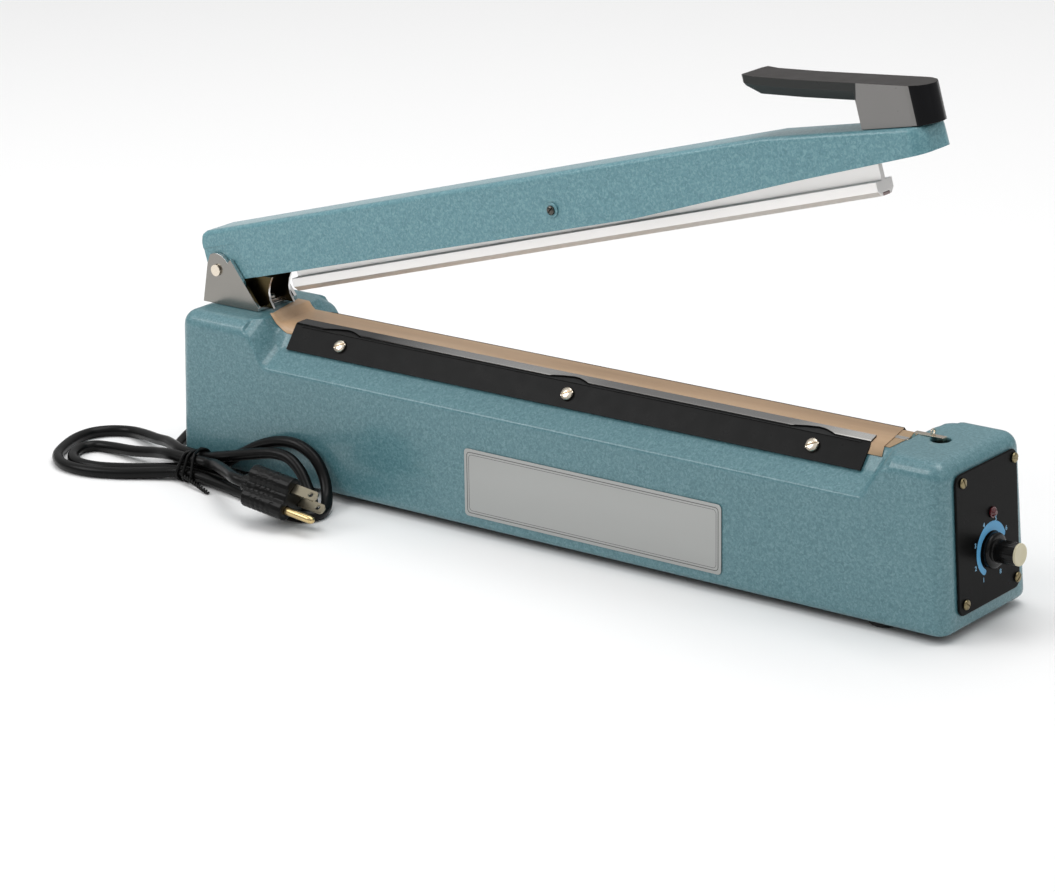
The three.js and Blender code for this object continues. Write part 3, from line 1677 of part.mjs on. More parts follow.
// Timer board behind the panel, with a relay, and the control on it
const potBack = -housing.wall - pot.bodyHeight;
const boardFront = potBack - gap;
const boardBack = boardFront - board.thickness;
const ledProfile = [
  [0, boardFront + gap],
  [led.radius, boardFront + gap],
  [led.radius, panel.proud + gap],
  [led.flangeRadius, panel.proud + gap],
  [led.flangeRadius, panel.proud + gap + led.flangeHeight],
  [led.radius, panel.proud + gap + led.flangeHeight],
  [led.radius / 2, panel.proud + gap + led.flangeHeight + led.dome],
  [0, panel.proud + gap + led.flangeHeight + led.dome],
];
const lens = turned(ledProfile, midSides).translate(panel.ledY, ledHeight, 0).applyMatrix4(rightFace);
piece('led_lens', 'redLens', lens);

const shaftHole = knob.shaftRadius + gap;
const potProfile = [
  [shaftHole, potBack + gap],
  [pot.bodyRadius, potBack + gap],
  [pot.bodyRadius, -gap],
  [pot.bushRadius, -gap],
  [pot.bushRadius, panel.proud],
  [shaftHole, panel.proud],
  [shaftHole, potBack + gap],
];
const potBody = turned(potProfile, midSides).translate(knob.y, knobHeight, 0).applyMatrix4(rightFace);
piece('potentiometer', 'zinc', potBody);

const boardPlate = block(
  -board.halfWidth,
  board.halfWidth,
  upPanel(board.lowShare),
  upPanel(board.highShare),
  boardBack,
  boardFront,
);
const relay = block(
  -board.relayLength / 2,
  board.relayLength / 2,
  relayLow,
  relayLow + board.relayWidth,
  boardBack - board.relayDepth,
  boardBack,
);
piece('timer_board', 'circuit', join(boardPlate, relay).applyMatrix4(rightFace));

// Knob: skirt and stalk on the control's shaft, with an ivory cap
const knobLow = panel.proud + knob.lift;
const stalkTop = panel.proud + knob.stalkHeight;
const knobShaftLow = boardFront + gap;
const knobProfile = [
  [0, knobShaftLow + gap],
  [knob.shaftRadius, knobShaftLow + gap],
  [knob.shaftRadius, knobLow],
  [knob.skirtRadius, knobLow],
  [knob.skirtRadius, knobLow + knob.skirtHeight / 2],
  [knob.skirtRadius * 0.93, knobLow + knob.skirtHeight],
  [knob.stalkRadius, knobLow + knob.skirtHeight],
  [knob.stalkRadius * 0.94, stalkTop],
  [0, stalkTop],
];
const knobBody = turned(knobProfile, fineSides).translate(knob.y, knobHeight, 0).applyMatrix4(rightFace);
piece('timer_knob', 'blackPlastic', knobBody);
const capLow = stalkTop + gap;
const capHigh = capLow + knob.capHeight;
const capProfile = [
  [0, capLow],
  [knob.capRadius, capLow],
  [knob.capRadius, capHigh - knob.capEdge],
  [knob.capRadius - knob.capEdge, capHigh],
  [0, capHigh],
];
const knobCap = turned(capProfile, fineSides).translate(knob.y, knobHeight, 0).applyMatrix4(rightFace);
piece('knob_cap', 'ivoryPlastic', knobCap);

// Label plate on the front face
const labelMiddleX = (label.left + label.right) / 2;
const labelMiddleY = (label.bottom + label.top) / 2;
const labelOutline = roundedRect(
  (label.right - label.left) / 2,
  (label.top - label.bottom) / 2,
  label.radius,
  cornerSteps,
).map(([x, y]) => [x + labelMiddleX, y + labelMiddleY]);
const labelPlate = upright(labelOutline, gap, gap + label.thickness);
piece('label_plate', 'brightAluminium', labelPlate.applyMatrix4(frontFace));

// Transformer: a laminated core with a coil round its middle leg
const coreLow = cover.height + cover.thickness + gap;
const coreHalf = transformer.legWidth + transformer.windowWidth + transformer.legWidth;
const coreHigh = coreLow + 2 * transformer.yoke + transformer.windowHeight;
const windowLow = coreLow + transformer.yoke;
const windowHigh = windowLow + transformer.windowHeight;

function rectangle(left, right, low, high) {
  return [[left, low], [right, low], [right, high], [left, high]];
}
const coreX = transformer.x;
const windowNear = transformer.legWidth;
const windowFar = transformer.legWidth + transformer.windowWidth;
const coreDepth = transformer.halfDepth;
const windowDepth = transformer.halfDepth + overrun;
const coreWindows = [
  block(coreX - windowFar, coreX - windowNear, -windowDepth, windowDepth, windowLow, windowHigh),
  block(coreX + windowNear, coreX + windowFar, -windowDepth, windowDepth, windowLow, windowHigh),
];
const coreBlock = block(coreX - coreHalf, coreX + coreHalf, -coreDepth, coreDepth, coreLow, coreHigh);
piece('transformer_core', 'darkIron', cut(coreBlock, ...coreWindows));
const coilHalfX = windowFar - gap;
const coilHalfY = transformer.halfDepth + transformer.coilOverhang;
const coilOuter = rectangle(coreX - coilHalfX, coreX + coilHalfX, -coilHalfY, coilHalfY);
const coilInner = rectangle(
  coreX - windowNear - gap,
  coreX + windowNear + gap,
  -transformer.halfDepth - gap,
  transformer.halfDepth + gap,
);
piece('transformer_coil', 'varnish', upright(coilOuter, windowLow + gap, windowHigh - gap, [coilInner]));

// Start switch under the hinge, with a bore for its button
const switchLow = switchTop - starter.switchHeight;
const switchBody = block(
  starterX - starter.switchLength / 2,
  starterX + starter.switchLength / 2,
  -starter.switchHalfWidth,
  starter.switchHalfWidth,
  switchLow,
  switchTop,
);
const plungerHole = rod(
  vec(starterX, 0, switchTop - starter.plungerBore - overrun),
  vec(starterX, 0, switchTop + overrun),
  starter.plungerRadius + gap,
  coarseSides,
);
piece('microswitch', 'blackPlastic', cut(switchBody, plungerHole));

// Rod: its button end stands in the switch and its top waits under the arm's roof
function rodTop() {
  const lean = rad(arm.raisedDegrees);
  const roof = armTopAt(0) - arm.wall;
  const ahead = starterX - hingeX;
  const along = (ahead + roof * Math.sin(lean)) / Math.cos(lean);
  return hingeZ + along * Math.sin(lean) + roof * Math.cos(lean) - starter.rodRadius * Math.tan(lean) - gap;
}
const plungerLow = switchTop - starter.plungerDepth;
const rodShoulder = switchTop + starter.shoulderLift;
const rodProfile = [
  [0, plungerLow],
  [starter.plungerRadius, plungerLow],
  [starter.plungerRadius, rodShoulder],
  [starter.rodRadius, rodShoulder],
  [starter.rodRadius, rodTop()],
  [0, rodTop()],
];
piece('switch_rod', 'zinc', turned(rodProfile, coarseSides).translate(starterX, 0, 0));

// Strain relief in the left end
const leftX = -halfLengthAt(relief.z);
const collarX = leftX - gap;
const noseX = collarX - relief.collarLength - relief.noseLength;
const reliefProfile = [
  [0, 0],
  [relief.throatRadius, 0],
  [relief.throatRadius, relief.throatLength],
  [relief.collarRadius, relief.throatLength],
  [relief.collarRadius, relief.throatLength + relief.collarLength],
  [relief.noseRadius, relief.throatLength + relief.collarLength],
  [relief.noseRadius * 0.9, relief.throatLength + relief.collarLength + relief.noseLength],
  [0, relief.throatLength + relief.collarLength + relief.noseLength],
];
const reliefPlace = vec(collarX + relief.throatLength, relief.y, relief.z);
const reliefBody = aimed(turned(reliefProfile, midSides), reliefPlace, axisX.clone().negate());
piece('strain_relief', 'blackRubber', reliefBody);

// Hank: two loops of cord, drawn in at the tie and followed from there to the right.
// Their left lobes lie flat, and the far side of the right ones leans on the housing.
const cordRadius = cord.diameter / 2;
const floorZ = -foot.height;
const hankRoute = [
  vec(-262, -47.4, 1.2),
  vec(-247, -47.4, 1.2),
  vec(-238, -46.9, 6),
  vec(-225, -46.8, 13.6),
  vec(-206, -46.8, 23.6),
  vec(-189.5, -46.8, 28.6),
  vec(-175, -46.8, 28.6),
  vec(-162.4, -47.2, 22.6),
  vec(-154, -49.2, 12.5),
  vec(-147.5, -55, 3.8),
  vec(-141, -64.5, -0.3),
  vec(-139.5, -74, -0.7),
  vec(-145.6, -80.9, -0.7),
  vec(-160, -81, -0.7),
  vec(-183.7, -74.4, -0.7),
  vec(-206, -68.4, -0.7),
  vec(-229, -65.2, 0.4),
  vec(-247, -63.9, 1.2),
  vec(-258, -63.9, 1.2),
  vec(-276, -72.2, 0),
  vec(-294.6, -83, -0.7),
  vec(-316, -90.4, -0.7),
  vec(-336, -89, -0.7),
  vec(-351, -79, -0.7),
  vec(-361, -62, -0.7),
  vec(-366, -46, -0.7),
  vec(-365, -34, -0.7),
  vec(-357, -24, -0.7),
  vec(-345, -19.5, -0.5),
  vec(-328, -24, 1.6),
  vec(-312, -30.2, 3.6),
  vec(-298, -35.8, 6),
  vec(-284, -43.4, 8),
  vec(-272, -49.4, 8.8),
  vec(-258, -51.7, 9.2),
  vec(-247, -51.7, 9.2),
  vec(-237, -53.4, 12),
  vec(-224, -55, 15.4),
  vec(-206, -54.8, 20),
  vec(-190, -54, 23),
  vec(-177, -54.4, 22.2),
  vec(-167, -56, 16.5),
  vec(-158.8, -59, 8.2),
  vec(-152.8, -62.4, 2.4),
  vec(-149.2, -67, -0.5),
  vec(-150.8, -71.6, -0.7),
  vec(-156.5, -72.8, -0.7),
  vec(-165.2, -71.1, -0.7),
  vec(-184, -66.2, -0.7),
  vec(-206, -60.2, -0.7),
  vec(-229, -57.2, 0.4),
  vec(-247, -55.6, 1.2),
  vec(-258, -55.6, 1.2),
  vec(-276, -62.8, 0),
  vec(-296, -73.6, -0.7),
  vec(-316, -82, -0.7),
  vec(-332, -81.2, -0.7),
  vec(-343.5, -73, -0.7),
  vec(-349, -61, -0.7),
  vec(-345, -52.5, -0.7),
  vec(-333, -50, -0.2),
  vec(-312, -51.5, 1.6),
  vec(-290, -53.5, 5.2),
  vec(-272, -58.4, 8.6),
  vec(-258, -59.9, 9.2),
  vec(-246, -59.9, 9.2),
];

// Least gap between stretches of the tube that are not neighbours, measured on its points
function leastGap(points, diameter) {
  let least = Infinity;
  const line = new THREE.Line3();
  const nearest = vec();
  for (let i = 0; i < points.length; i += 1) {
    for (let j = i + 4; j + 1 < points.length; j += 1) {
      line.set(points[j], points[j + 1]);
      line.closestPointToPoint(points[i], true, nearest);
      least = Math.min(least, nearest.distanceTo(points[i]) - diameter);
    }
  }
  return least;
}
console.log(`least gap of the hank to itself: ${leastGap(hankRoute, cord.diameter).toFixed(2)} mm`);
piece('cord_hank', 'blackRubber', tubeThrough(hankRoute, cordRadius, hank.sides));

// Free stretches of cord, by hand-chosen places
function cordAlong(points, steps) {
  const path = new THREE.CatmullRomCurve3(points, false, 'centripetal');
  const options = { steps, bevelEnabled: false, extrudePath: path };
  return new THREE.ExtrudeGeometry(shapeOf(circle(0, 0, cordRadius, cord.sides)), options);
}
const hankStart = hankRoute[0];
const hankEnd = hankRoute.at(-1);
const startWay = hankRoute[1].clone().sub(hankStart).normalize();
const endWay = hankEnd.clone().sub(hankRoute.at(-2)).normalize();
const leadEnd = hankStart.clone().addScaledVector(startWay, -gap);
const leadStart = vec(noseX - gap, relief.y, relief.z);
const leadPoints = [
  leadStart,
  vec(-293, 1.6, 8.8),
  vec(-299.3, -2.6, 7),
  vec(-301.8, -10, 4.2),
  vec(-300.5, -19, 1.6),
  vec(-296, -29, 0.3),
  vec(-288, -39.5, 0.3),
  vec(-279.5, -44.6, 0.5),
  leadEnd.clone().addScaledVector(startWay, -cord.diameter),
  leadEnd,
];
piece('cord_lead', 'blackRubber', cordAlong(leadPoints, 20));

// Plug frame: x runs along its prongs, out of its front face
const plugTurn = new THREE.Euler(rad(plug.rollDegrees), -rad(plug.pitchDegrees), rad(plug.yawDegrees), 'ZYX');
const plugFrame = new THREE.Matrix4()
  .makeRotationFromEuler(plugTurn)
  .setPosition(plug.frontX, plug.frontY, plug.frontZ);
const bladePlaces = [-plug.bladeSpacing / 2, plug.bladeSpacing / 2];
const bladeV = plug.pinDrop / 3;
const pinV = bladeV - plug.pinDrop;

function plugBodyGeometry() {
  const lobe = (y, z, radius, length) => rod(vec(-length, y, z), vec(0, y, z), radius, midSides);
  const lobes = bladePlaces.map((y) => lobe(y, bladeV, plug.lobeRadius, plug.bodyLength));
  lobes.push(lobe(0, pinV, plug.lobeRadius, plug.bodyLength));
  lobes.push(lobe(0, 0, plug.waistRadius, plug.bodyLength));
  lobes.push(lobe(0, 0, plug.neckRadius, plug.bodyLength + plug.neckLength));
  const slots = bladePlaces.map((y) =>
    block(
      -plug.bladeRoot,
      overrun,
      y - plug.bladeThickness / 2 - gap,
      y + plug.bladeThickness / 2 + gap,
      bladeV - plug.bladeWidth / 2 - gap,
      bladeV + plug.bladeWidth / 2 + gap,
    ),
  );
  slots.push(rod(vec(-plug.bladeRoot, 0, pinV), vec(overrun, 0, pinV), plug.pinRadius + gap, coarseSides));
  return cut(join(...lobes), ...slots).applyMatrix4(plugFrame);
}
piece('plug_body', 'blackRubber', plugBodyGeometry());
for (const [name, y] of [['near', bladePlaces[0]], ['far', bladePlaces[1]]]) {
  const blade = block(
    gap - plug.bladeRoot,
    plug.bladeLength,
    y - plug.bladeThickness / 2,
    y + plug.bladeThickness / 2,
    bladeV - plug.bladeWidth / 2,
    bladeV + plug.bladeWidth / 2,
  ).applyMatrix4(plugFrame);
  piece(`plug_blade_${name}`, 'brass', blade);
}
const pinFrom = vec(gap - plug.bladeRoot, 0, pinV);
const groundPin = rod(pinFrom, vec(plug.pinLength, 0, pinV), plug.pinRadius, coarseSides);
piece('plug_pin', 'brass', groundPin.applyMatrix4(plugFrame));

const plugBack = vec(-plug.bodyLength - plug.neckLength - gap, 0, 0).applyMatrix4(plugFrame);
const plugWay = vec(1, 0, 0).transformDirection(plugFrame);
const tailStart = hankEnd.clone().addScaledVector(endWay, gap);
const tailPoints = [
  tailStart,
  tailStart.clone().addScaledVector(endWay, cord.diameter),
  vec(-225, -68, 13),
  vec(-200, -84, 17.6),
  plugBack.clone().addScaledVector(plugWay, -cord.diameter),
  plugBack,
];
piece('cord_tail', 'blackRubber', cordAlong(tailPoints, 14));

// An outline that runs at one distance round a list of corners, given counter-clockwise
function wrapped(corners, distance) {
  const normalAfter = (i) => {
    const [from, to] = [corners[i], corners[(i + 1) % corners.length]];
    return THREE.MathUtils.radToDeg(Math.atan2(from[0] - to[0], to[1] - from[1]));
  };
  return corners.flatMap(([a, b], i) => {
    const start = normalAfter((i + corners.length - 1) % corners.length);
    const turn = (normalAfter(i) - start + 360) % 360;
    return arc(a, b, distance, start, start + turn, 3);
  });
}

// Tie round the waist of the hank, with its twisted end along the near side
function tieGeometry() {
  const strands = [
    [tie.farY, tie.lowZ],
    [tie.upperFarY, tie.highZ],
    [tie.upperNearY, tie.highZ],
    [tie.nearY, tie.lowZ],
  ];
  const inner = wrapped(strands, cordRadius + gap);
  const outer = wrapped(strands, cordRadius + gap + tie.thickness);
  const band = lengthways(outer, tie.x - tie.length / 2, tie.x + tie.length / 2, [inner]);
  const near = tie.nearY - cordRadius - gap - tie.thickness / 2;
  const tailStart = vec(tie.x, near, tie.lowZ);
  const tailEnd = vec(tie.x + tie.tailAlong, near - tie.tailOut, floorZ + tie.tailRadius + gap);
  return join(band, rod(tailStart, tailEnd, tie.tailRadius, coarseSides));
}
piece('cord_tie', 'blackRubber', tieGeometry());

// The part stands with its feet on z = 0 and the middle of its own pieces, cord apart, over the origin
const capCorner = vec(knob.y, knobHeight - knob.capRadius + knob.capEdge, capHigh).applyMatrix4(rightFace);
group.position.set(-(capCorner.x + noseX) / 2, 0, foot.height);
group.updateMatrixWorld(true);

export default group;
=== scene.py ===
"""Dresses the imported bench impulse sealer: camera, light, mains cord, finishes and finer pieces."""

import json
import math

import bmesh
import bpy
from mathutils import Matrix, Vector

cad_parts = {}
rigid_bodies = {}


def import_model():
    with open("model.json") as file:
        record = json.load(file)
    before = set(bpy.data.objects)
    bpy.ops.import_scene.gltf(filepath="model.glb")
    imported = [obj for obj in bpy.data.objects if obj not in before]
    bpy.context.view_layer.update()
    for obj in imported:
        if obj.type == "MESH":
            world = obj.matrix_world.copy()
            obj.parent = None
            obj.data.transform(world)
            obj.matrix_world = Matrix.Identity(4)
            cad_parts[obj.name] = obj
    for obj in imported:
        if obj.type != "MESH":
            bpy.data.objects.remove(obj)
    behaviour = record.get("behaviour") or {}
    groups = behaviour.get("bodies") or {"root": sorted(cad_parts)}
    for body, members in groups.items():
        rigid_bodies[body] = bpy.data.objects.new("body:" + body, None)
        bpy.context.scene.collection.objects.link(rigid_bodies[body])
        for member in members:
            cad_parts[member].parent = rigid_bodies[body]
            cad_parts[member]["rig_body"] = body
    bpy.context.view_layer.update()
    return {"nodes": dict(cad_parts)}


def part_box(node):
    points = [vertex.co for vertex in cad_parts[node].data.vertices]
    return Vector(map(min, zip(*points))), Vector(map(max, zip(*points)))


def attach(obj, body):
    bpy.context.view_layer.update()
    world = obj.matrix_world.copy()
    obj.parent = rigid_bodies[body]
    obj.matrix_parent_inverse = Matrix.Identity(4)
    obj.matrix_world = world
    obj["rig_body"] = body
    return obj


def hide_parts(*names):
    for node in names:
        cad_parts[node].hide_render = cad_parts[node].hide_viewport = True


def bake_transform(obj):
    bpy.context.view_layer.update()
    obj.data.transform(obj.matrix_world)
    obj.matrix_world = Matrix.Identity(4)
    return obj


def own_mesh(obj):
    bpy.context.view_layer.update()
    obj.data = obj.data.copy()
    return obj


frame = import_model()

MM = 0.001
UP = Vector((0, 0, 1))
RIGHT = Vector((1, 0, 0))
FAR = Vector((0, 1, 0))

# The housing's own frame: its middle and its bottom edge, where the part's sizes are measured from
HOUSING_LOW, HOUSING_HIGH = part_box("housing")
ORIGIN = Vector(((HOUSING_LOW.x + HOUSING_HIGH.x) / 2, 0, HOUSING_LOW.z))
HALF_LENGTH = 280
HALF_WIDTH = 42.75
DRAFT = math.radians(2)


def place(x, y, z):
    """A place in the housing's frame, given in millimetres."""
    return Vector((x, y, z)) * MM + ORIGIN


# ---- Camera, fitted to the photograph ----
IMAGE_WIDTH = 1055
FOCAL_PX = 3814.22
SENSOR_MM = 36
CAMERA_PLACE = place(1311.02, -1634.26, 743.76)
CAMERA_YAW, CAMERA_PITCH, CAMERA_ROLL = (math.radians(a) for a in (39.512, 18.373, -2.126))


def make_camera():
    data = bpy.data.cameras.new("camera")
    data.lens = FOCAL_PX / IMAGE_WIDTH * SENSOR_MM
    data.sensor_width = SENSOR_MM
    data.sensor_fit = "HORIZONTAL"
    data.clip_end = 50
    camera = bpy.data.objects.new("camera", data)
    bpy.context.scene.collection.objects.link(camera)
    level = Vector((-math.sin(CAMERA_YAW), math.cos(CAMERA_YAW), 0))
    ahead = level * math.cos(CAMERA_PITCH) - UP * math.sin(CAMERA_PITCH)
    side = Vector((math.cos(CAMERA_YAW), math.sin(CAMERA_YAW), 0))
    above = side.cross(ahead)
    right = side * math.cos(CAMERA_ROLL) + above * math.sin(CAMERA_ROLL)
    top = above * math.cos(CAMERA_ROLL) - side * math.sin(CAMERA_ROLL)
    turn = Matrix((right, top, -ahead)).transposed().to_4x4()
    camera.matrix_world = Matrix.Translation(CAMERA_PLACE) @ turn
    bpy.context.scene.camera = camera


make_camera()


# ---- Finishes ----
class Finish:
    """A Principled material with helpers for its textures, which read object coordinates in metres."""

    def __init__(self, name, color, roughness, metallic=0.0, coat=0.0, specular=0.5):
        self.material = bpy.data.materials.new(name)
        self.material.use_nodes = True
        self.nodes = self.material.node_tree.nodes
        self.links = self.material.node_tree.links
        self.shader = self.nodes["Principled BSDF"]
        self.shader.inputs["Base Color"].default_value = (*color, 1)
        self.shader.inputs["Roughness"].default_value = roughness
        self.shader.inputs["Metallic"].default_value = metallic
        self.shader.inputs["Coat Weight"].default_value = coat
        self.shader.inputs["Specular IOR Level"].default_value = specular
        self.coordinates = self.nodes.new("ShaderNodeTexCoord").outputs["Object"]

    def add(self, kind, **inputs):
        node = self.nodes.new(kind)
        for name, value in inputs.items():
            socket = node.inputs[name.replace("_", " ")]
            if isinstance(value, bpy.types.NodeSocket):
                self.links.new(value, socket)
            else:
                socket.default_value = value
        return node

    def noise(self, scale, detail=2.0, roughness=0.5, distortion=0.0, stretch=(1, 1, 1)):
        """Noise whose features are about 1 / scale metres wide."""
        spread = self.add("ShaderNodeMapping", Vector=self.coordinates)
        spread.inputs["Scale"].default_value = stretch
        node = self.add(
            "ShaderNodeTexNoise",
            Vector=spread.outputs["Vector"],
            Scale=scale,
            Detail=detail,
            Roughness=roughness,
            Distortion=distortion,
        )
        return node.outputs["Fac"]

    def ramp(self, value, *stops):
        node = self.add("ShaderNodeValToRGB", Fac=value)
        ramp = node.color_ramp
        while len(ramp.elements) < len(stops):
            ramp.elements.new(0.5)
        for element, (position, color) in zip(ramp.elements, stops):
            element.position = position
            element.color = (*color, 1)
        return node.outputs["Color"]

    def range(self, value, low, high, start=0.3, end=0.7):
        node = self.add("ShaderNodeMapRange", Value=value)
        node.inputs["From Min"].default_value = start
        node.inputs["From Max"].default_value = end
        node.inputs["To Min"].default_value = low
        node.inputs["To Max"].default_value = high
        return node.outputs["Result"]

    def color(self, socket):
        self.links.new(socket, self.shader.inputs["Base Color"])

    def rough(self, socket):
        self.links.new(socket, self.shader.inputs["Roughness"])

    def bump(self, height, strength, depth):
        node = self.add("ShaderNodeBump", Height=height, Strength=strength, Distance=depth)
        self.links.new(node.outputs["Normal"], self.shader.inputs["Normal"])


def hammertone(name, light, depth):
    """Hammered enamel: fine wrinkles under a clear gloss, lighter on their crests."""
    finish = Finish(name, (0.12, 0.25, 0.29), 0.42, coat=0.5)
    finish.shader.inputs["Coat Roughness"].default_value = 0.13
    cells = finish.noise(620, detail=1.5, distortion=0.9)
    cloud = finish.noise(9, detail=2)
    finish.color(
        finish.ramp(
            cells,
            (0.3, (0.062 * light, 0.17 * light, 0.2 * light)),
            (0.5, (0.086 * light, 0.21 * light, 0.241 * light)),
            (0.7, (0.13 * light, 0.266 * light, 0.298 * light)),
        )
    )
    finish.rough(finish.range(cloud, 0.36, 0.46))
    finish.bump(cells, 0.45, depth)
    return finish.material


def plated(name, color, roughness, grain=0.03, stretch=(1, 1, 1), metallic=1.0):
    finish = Finish(name, color, roughness, metallic=metallic)
    haze = finish.noise(60, detail=4, stretch=stretch)
    finish.rough(finish.range(haze, roughness - grain, roughness + grain))
    finish.bump(finish.noise(900, detail=3, stretch=stretch), 0.06, 0.0001)
    return finish.material


def moulded(name, color, roughness, coat=0.0, texture=0.08, grain=1400, specular=0.5):
    finish = Finish(name, color, roughness, coat=coat, specular=specular)
    finish.rough(finish.range(finish.noise(120, detail=4), roughness - 0.03, roughness + 0.03))
    finish.bump(finish.noise(grain, detail=2), texture, 0.00015)
    return finish.material


def tan_cloth():
    """Coated glass cloth: a fine plain weave under a half-gloss coat, with long faint stains."""
    finish = Finish("coated_cloth", (0.55, 0.36, 0.2), 0.42, coat=0.1)
    streak = finish.noise(22, detail=4, stretch=(0.25, 3, 1))
    finish.color(
        finish.ramp(
            streak,
            (0.3, (0.5, 0.32, 0.18)),
            (0.5, (0.62, 0.41, 0.245)),
            (0.72, (0.7, 0.48, 0.3)),
        )
    )
    weave = []
    for axis in ("X", "Y"):
        wave = finish.add("ShaderNodeTexWave", Vector=finish.coordinates, Scale=320.0, Distortion=0.4)
        wave.bands_direction = axis
        weave.append(wave.outputs["Fac"])
    cross = finish.add("ShaderNodeMath")
    cross.operation = "MULTIPLY"
    for i, socket in enumerate(weave):
        finish.links.new(socket, cross.inputs[i])
    finish.bump(cross.outputs[0], 0.25, 0.0001)
    return finish.material


def painted_lip_reflection():
    """Glossy top of the clamp strip's lip with a painted reflection: dark at the hinge end, painted bright
    towards the panel end.
    """
    finish = Finish("strip_lip_painted_reflection", (0.2, 0.2, 0.2), 0.16, metallic=0.85)
    split = finish.add("ShaderNodeSeparateXYZ", Vector=finish.coordinates)
    along = finish.range(split.outputs["X"], 0, 1, -0.207, 0.21)
    finish.color(
        finish.ramp(
            along,
            (0.0, (0.01, 0.01, 0.01)),
            (0.14, (0.02, 0.02, 0.02)),
            (0.3, (0.5, 0.49, 0.48)),
            (0.46, (0.6, 0.59, 0.57)),
            (0.56, (0.3, 0.29, 0.28)),
            (0.86, (0.34, 0.33, 0.32)),
            (0.97, (0.9, 0.88, 0.84)),
        )
    )
    finish.rough(finish.range(finish.noise(70, detail=4, stretch=(0.2, 1, 1)), 0.1, 0.24))
    return finish.material


def laminated_iron():
    finish = Finish("laminated_iron", (0.12, 0.12, 0.125), 0.55, metallic=0.8)
    wave = finish.add("ShaderNodeTexWave", Vector=finish.coordinates, Scale=320.0, Distortion=0.2)
    wave.bands_direction = "Y"
    finish.bump(wave.outputs["Fac"], 0.5, 0.0002)
    finish.color(finish.ramp(finish.noise(300), (0.3, (0.08, 0.08, 0.085)), (0.7, (0.18, 0.17, 0.165))))
    return finish.material


ENAMEL = hammertone("hammertone_enamel", 0.97, 0.0003)
# The arm's enamel is the housing's paint made 1.3 times lighter as a painted sheen, with coarser wrinkles.
ARM_ENAMEL_PAINTED_SHEEN = hammertone("hammertone_enamel_coarse_painted_sheen", 1.3, 0.001)
CHROME = plated("bright_chrome", (0.72, 0.71, 0.7), 0.13)
ZINC = plated("zinc_plate", (0.62, 0.6, 0.56), 0.3, grain=0.08)
WARM_STEEL = plated("nickel_screw", (0.74, 0.66, 0.55), 0.2)
BRASS = plated("brass_plate", (0.62, 0.47, 0.23), 0.24, grain=0.06)
ALUMINIUM = plated("drawn_aluminium", (0.93, 0.91, 0.89), 0.34, stretch=(0.03, 1, 1), metallic=0.7)
# Olive-brown steel: a painted reflection for the inner bracket's flat faces.
OLIVE_REFLECTION_STEEL = plated("steel_painted_olive_reflection", (0.085, 0.065, 0.03), 0.3)
DARK_STEEL = plated("dark_steel", (0.1, 0.095, 0.085), 0.3)
DULL_BRASS = plated("dull_brass", (0.26, 0.215, 0.12), 0.36, grain=0.06)
BLADE_BRASS = plated("blade_brass", (0.3, 0.27, 0.2), 0.3, grain=0.06)
LABEL_SILVER = plated("label_silver", (0.41, 0.415, 0.405), 0.38, stretch=(0.1, 1, 1))
SATIN_STEEL = plated("satin_steel", (0.27, 0.26, 0.24), 0.24, grain=0.04)
BLACK_PLASTIC = moulded("black_plastic", (0.004, 0.004, 0.004), 0.2, texture=0.03, specular=0.2)
# The handle is one black plastic: the top's brownish tint and the post flank's light grey are painted
# reflection.
HANDLE_TOP = moulded("grip_plastic", (0.02, 0.0165, 0.015), 0.34, texture=0.06, specular=0.22)
HANDLE_POST_REFLECTION = moulded("grip_plastic_post_painted_reflection", (0.21, 0.203, 0.196), 0.3, texture=0.05)
HANDLE_UNDER = moulded("grip_plastic_under", (0.03, 0.032, 0.031), 0.3, texture=0.05, specular=0.2)
HANDLE_NOSE = moulded("grip_plastic_nose", (0.003, 0.003, 0.004), 0.1, texture=0.02, specular=0.3)
PANEL_BLACK = moulded("panel_black", (0.004, 0.004, 0.004), 0.3, texture=0.04, specular=0.06)
IVORY = moulded("ivory_plastic", (0.62, 0.57, 0.4), 0.38)
RED_LENS = moulded("red_lens", (0.075, 0.005, 0.009), 0.12, coat=0.4, texture=0.0)
CORD_PVC = moulded("cord_pvc", (0.0035, 0.0035, 0.0035), 0.3, texture=0.08, grain=700, specular=0.16)
RUBBER = moulded("black_rubber", (0.012, 0.012, 0.012), 0.75, texture=0.2, grain=900)
STRIP_BLACK = moulded("strip_enamel", (0.005, 0.005, 0.005), 0.3, texture=0.04, specular=0.08)
PAD_BLACK = moulded("strip_pad_black", (0.005, 0.005, 0.005), 0.85, texture=0.2)
COVER_BLACK = moulded("cover_enamel", (0.02, 0.02, 0.021), 0.5)
SILICONE = moulded("dusty_silicone", (0.34, 0.26, 0.25), 0.65)
INSULATION = moulded("glass_tape", (0.36, 0.25, 0.15), 0.85, texture=0.3)
BOARD = moulded("board_resin", (0.2, 0.11, 0.035), 0.5)
VARNISH = moulded("coil_varnish", (0.28, 0.075, 0.03), 0.35, coat=0.3, texture=0.3, grain=500)
DIAL_BLUE = moulded("dial_blue", (0.1, 0.36, 0.62), 0.5, texture=0.02)
DIAL_PALE = moulded("dial_pale", (0.2, 0.42, 0.6), 0.5, texture=0.02)
PRINT_GREY = moulded("print_grey", (0.09, 0.09, 0.09), 0.5, texture=0.02)
CLOTH = tan_cloth()
IRON = laminated_iron()
LIP_REFLECTION = painted_lip_reflection()


# ---- Mesh helpers ----
def shade(mesh, degrees=35):
    mesh.shade_smooth()
    mesh.set_sharp_from_angle(angle=math.radians(degrees))


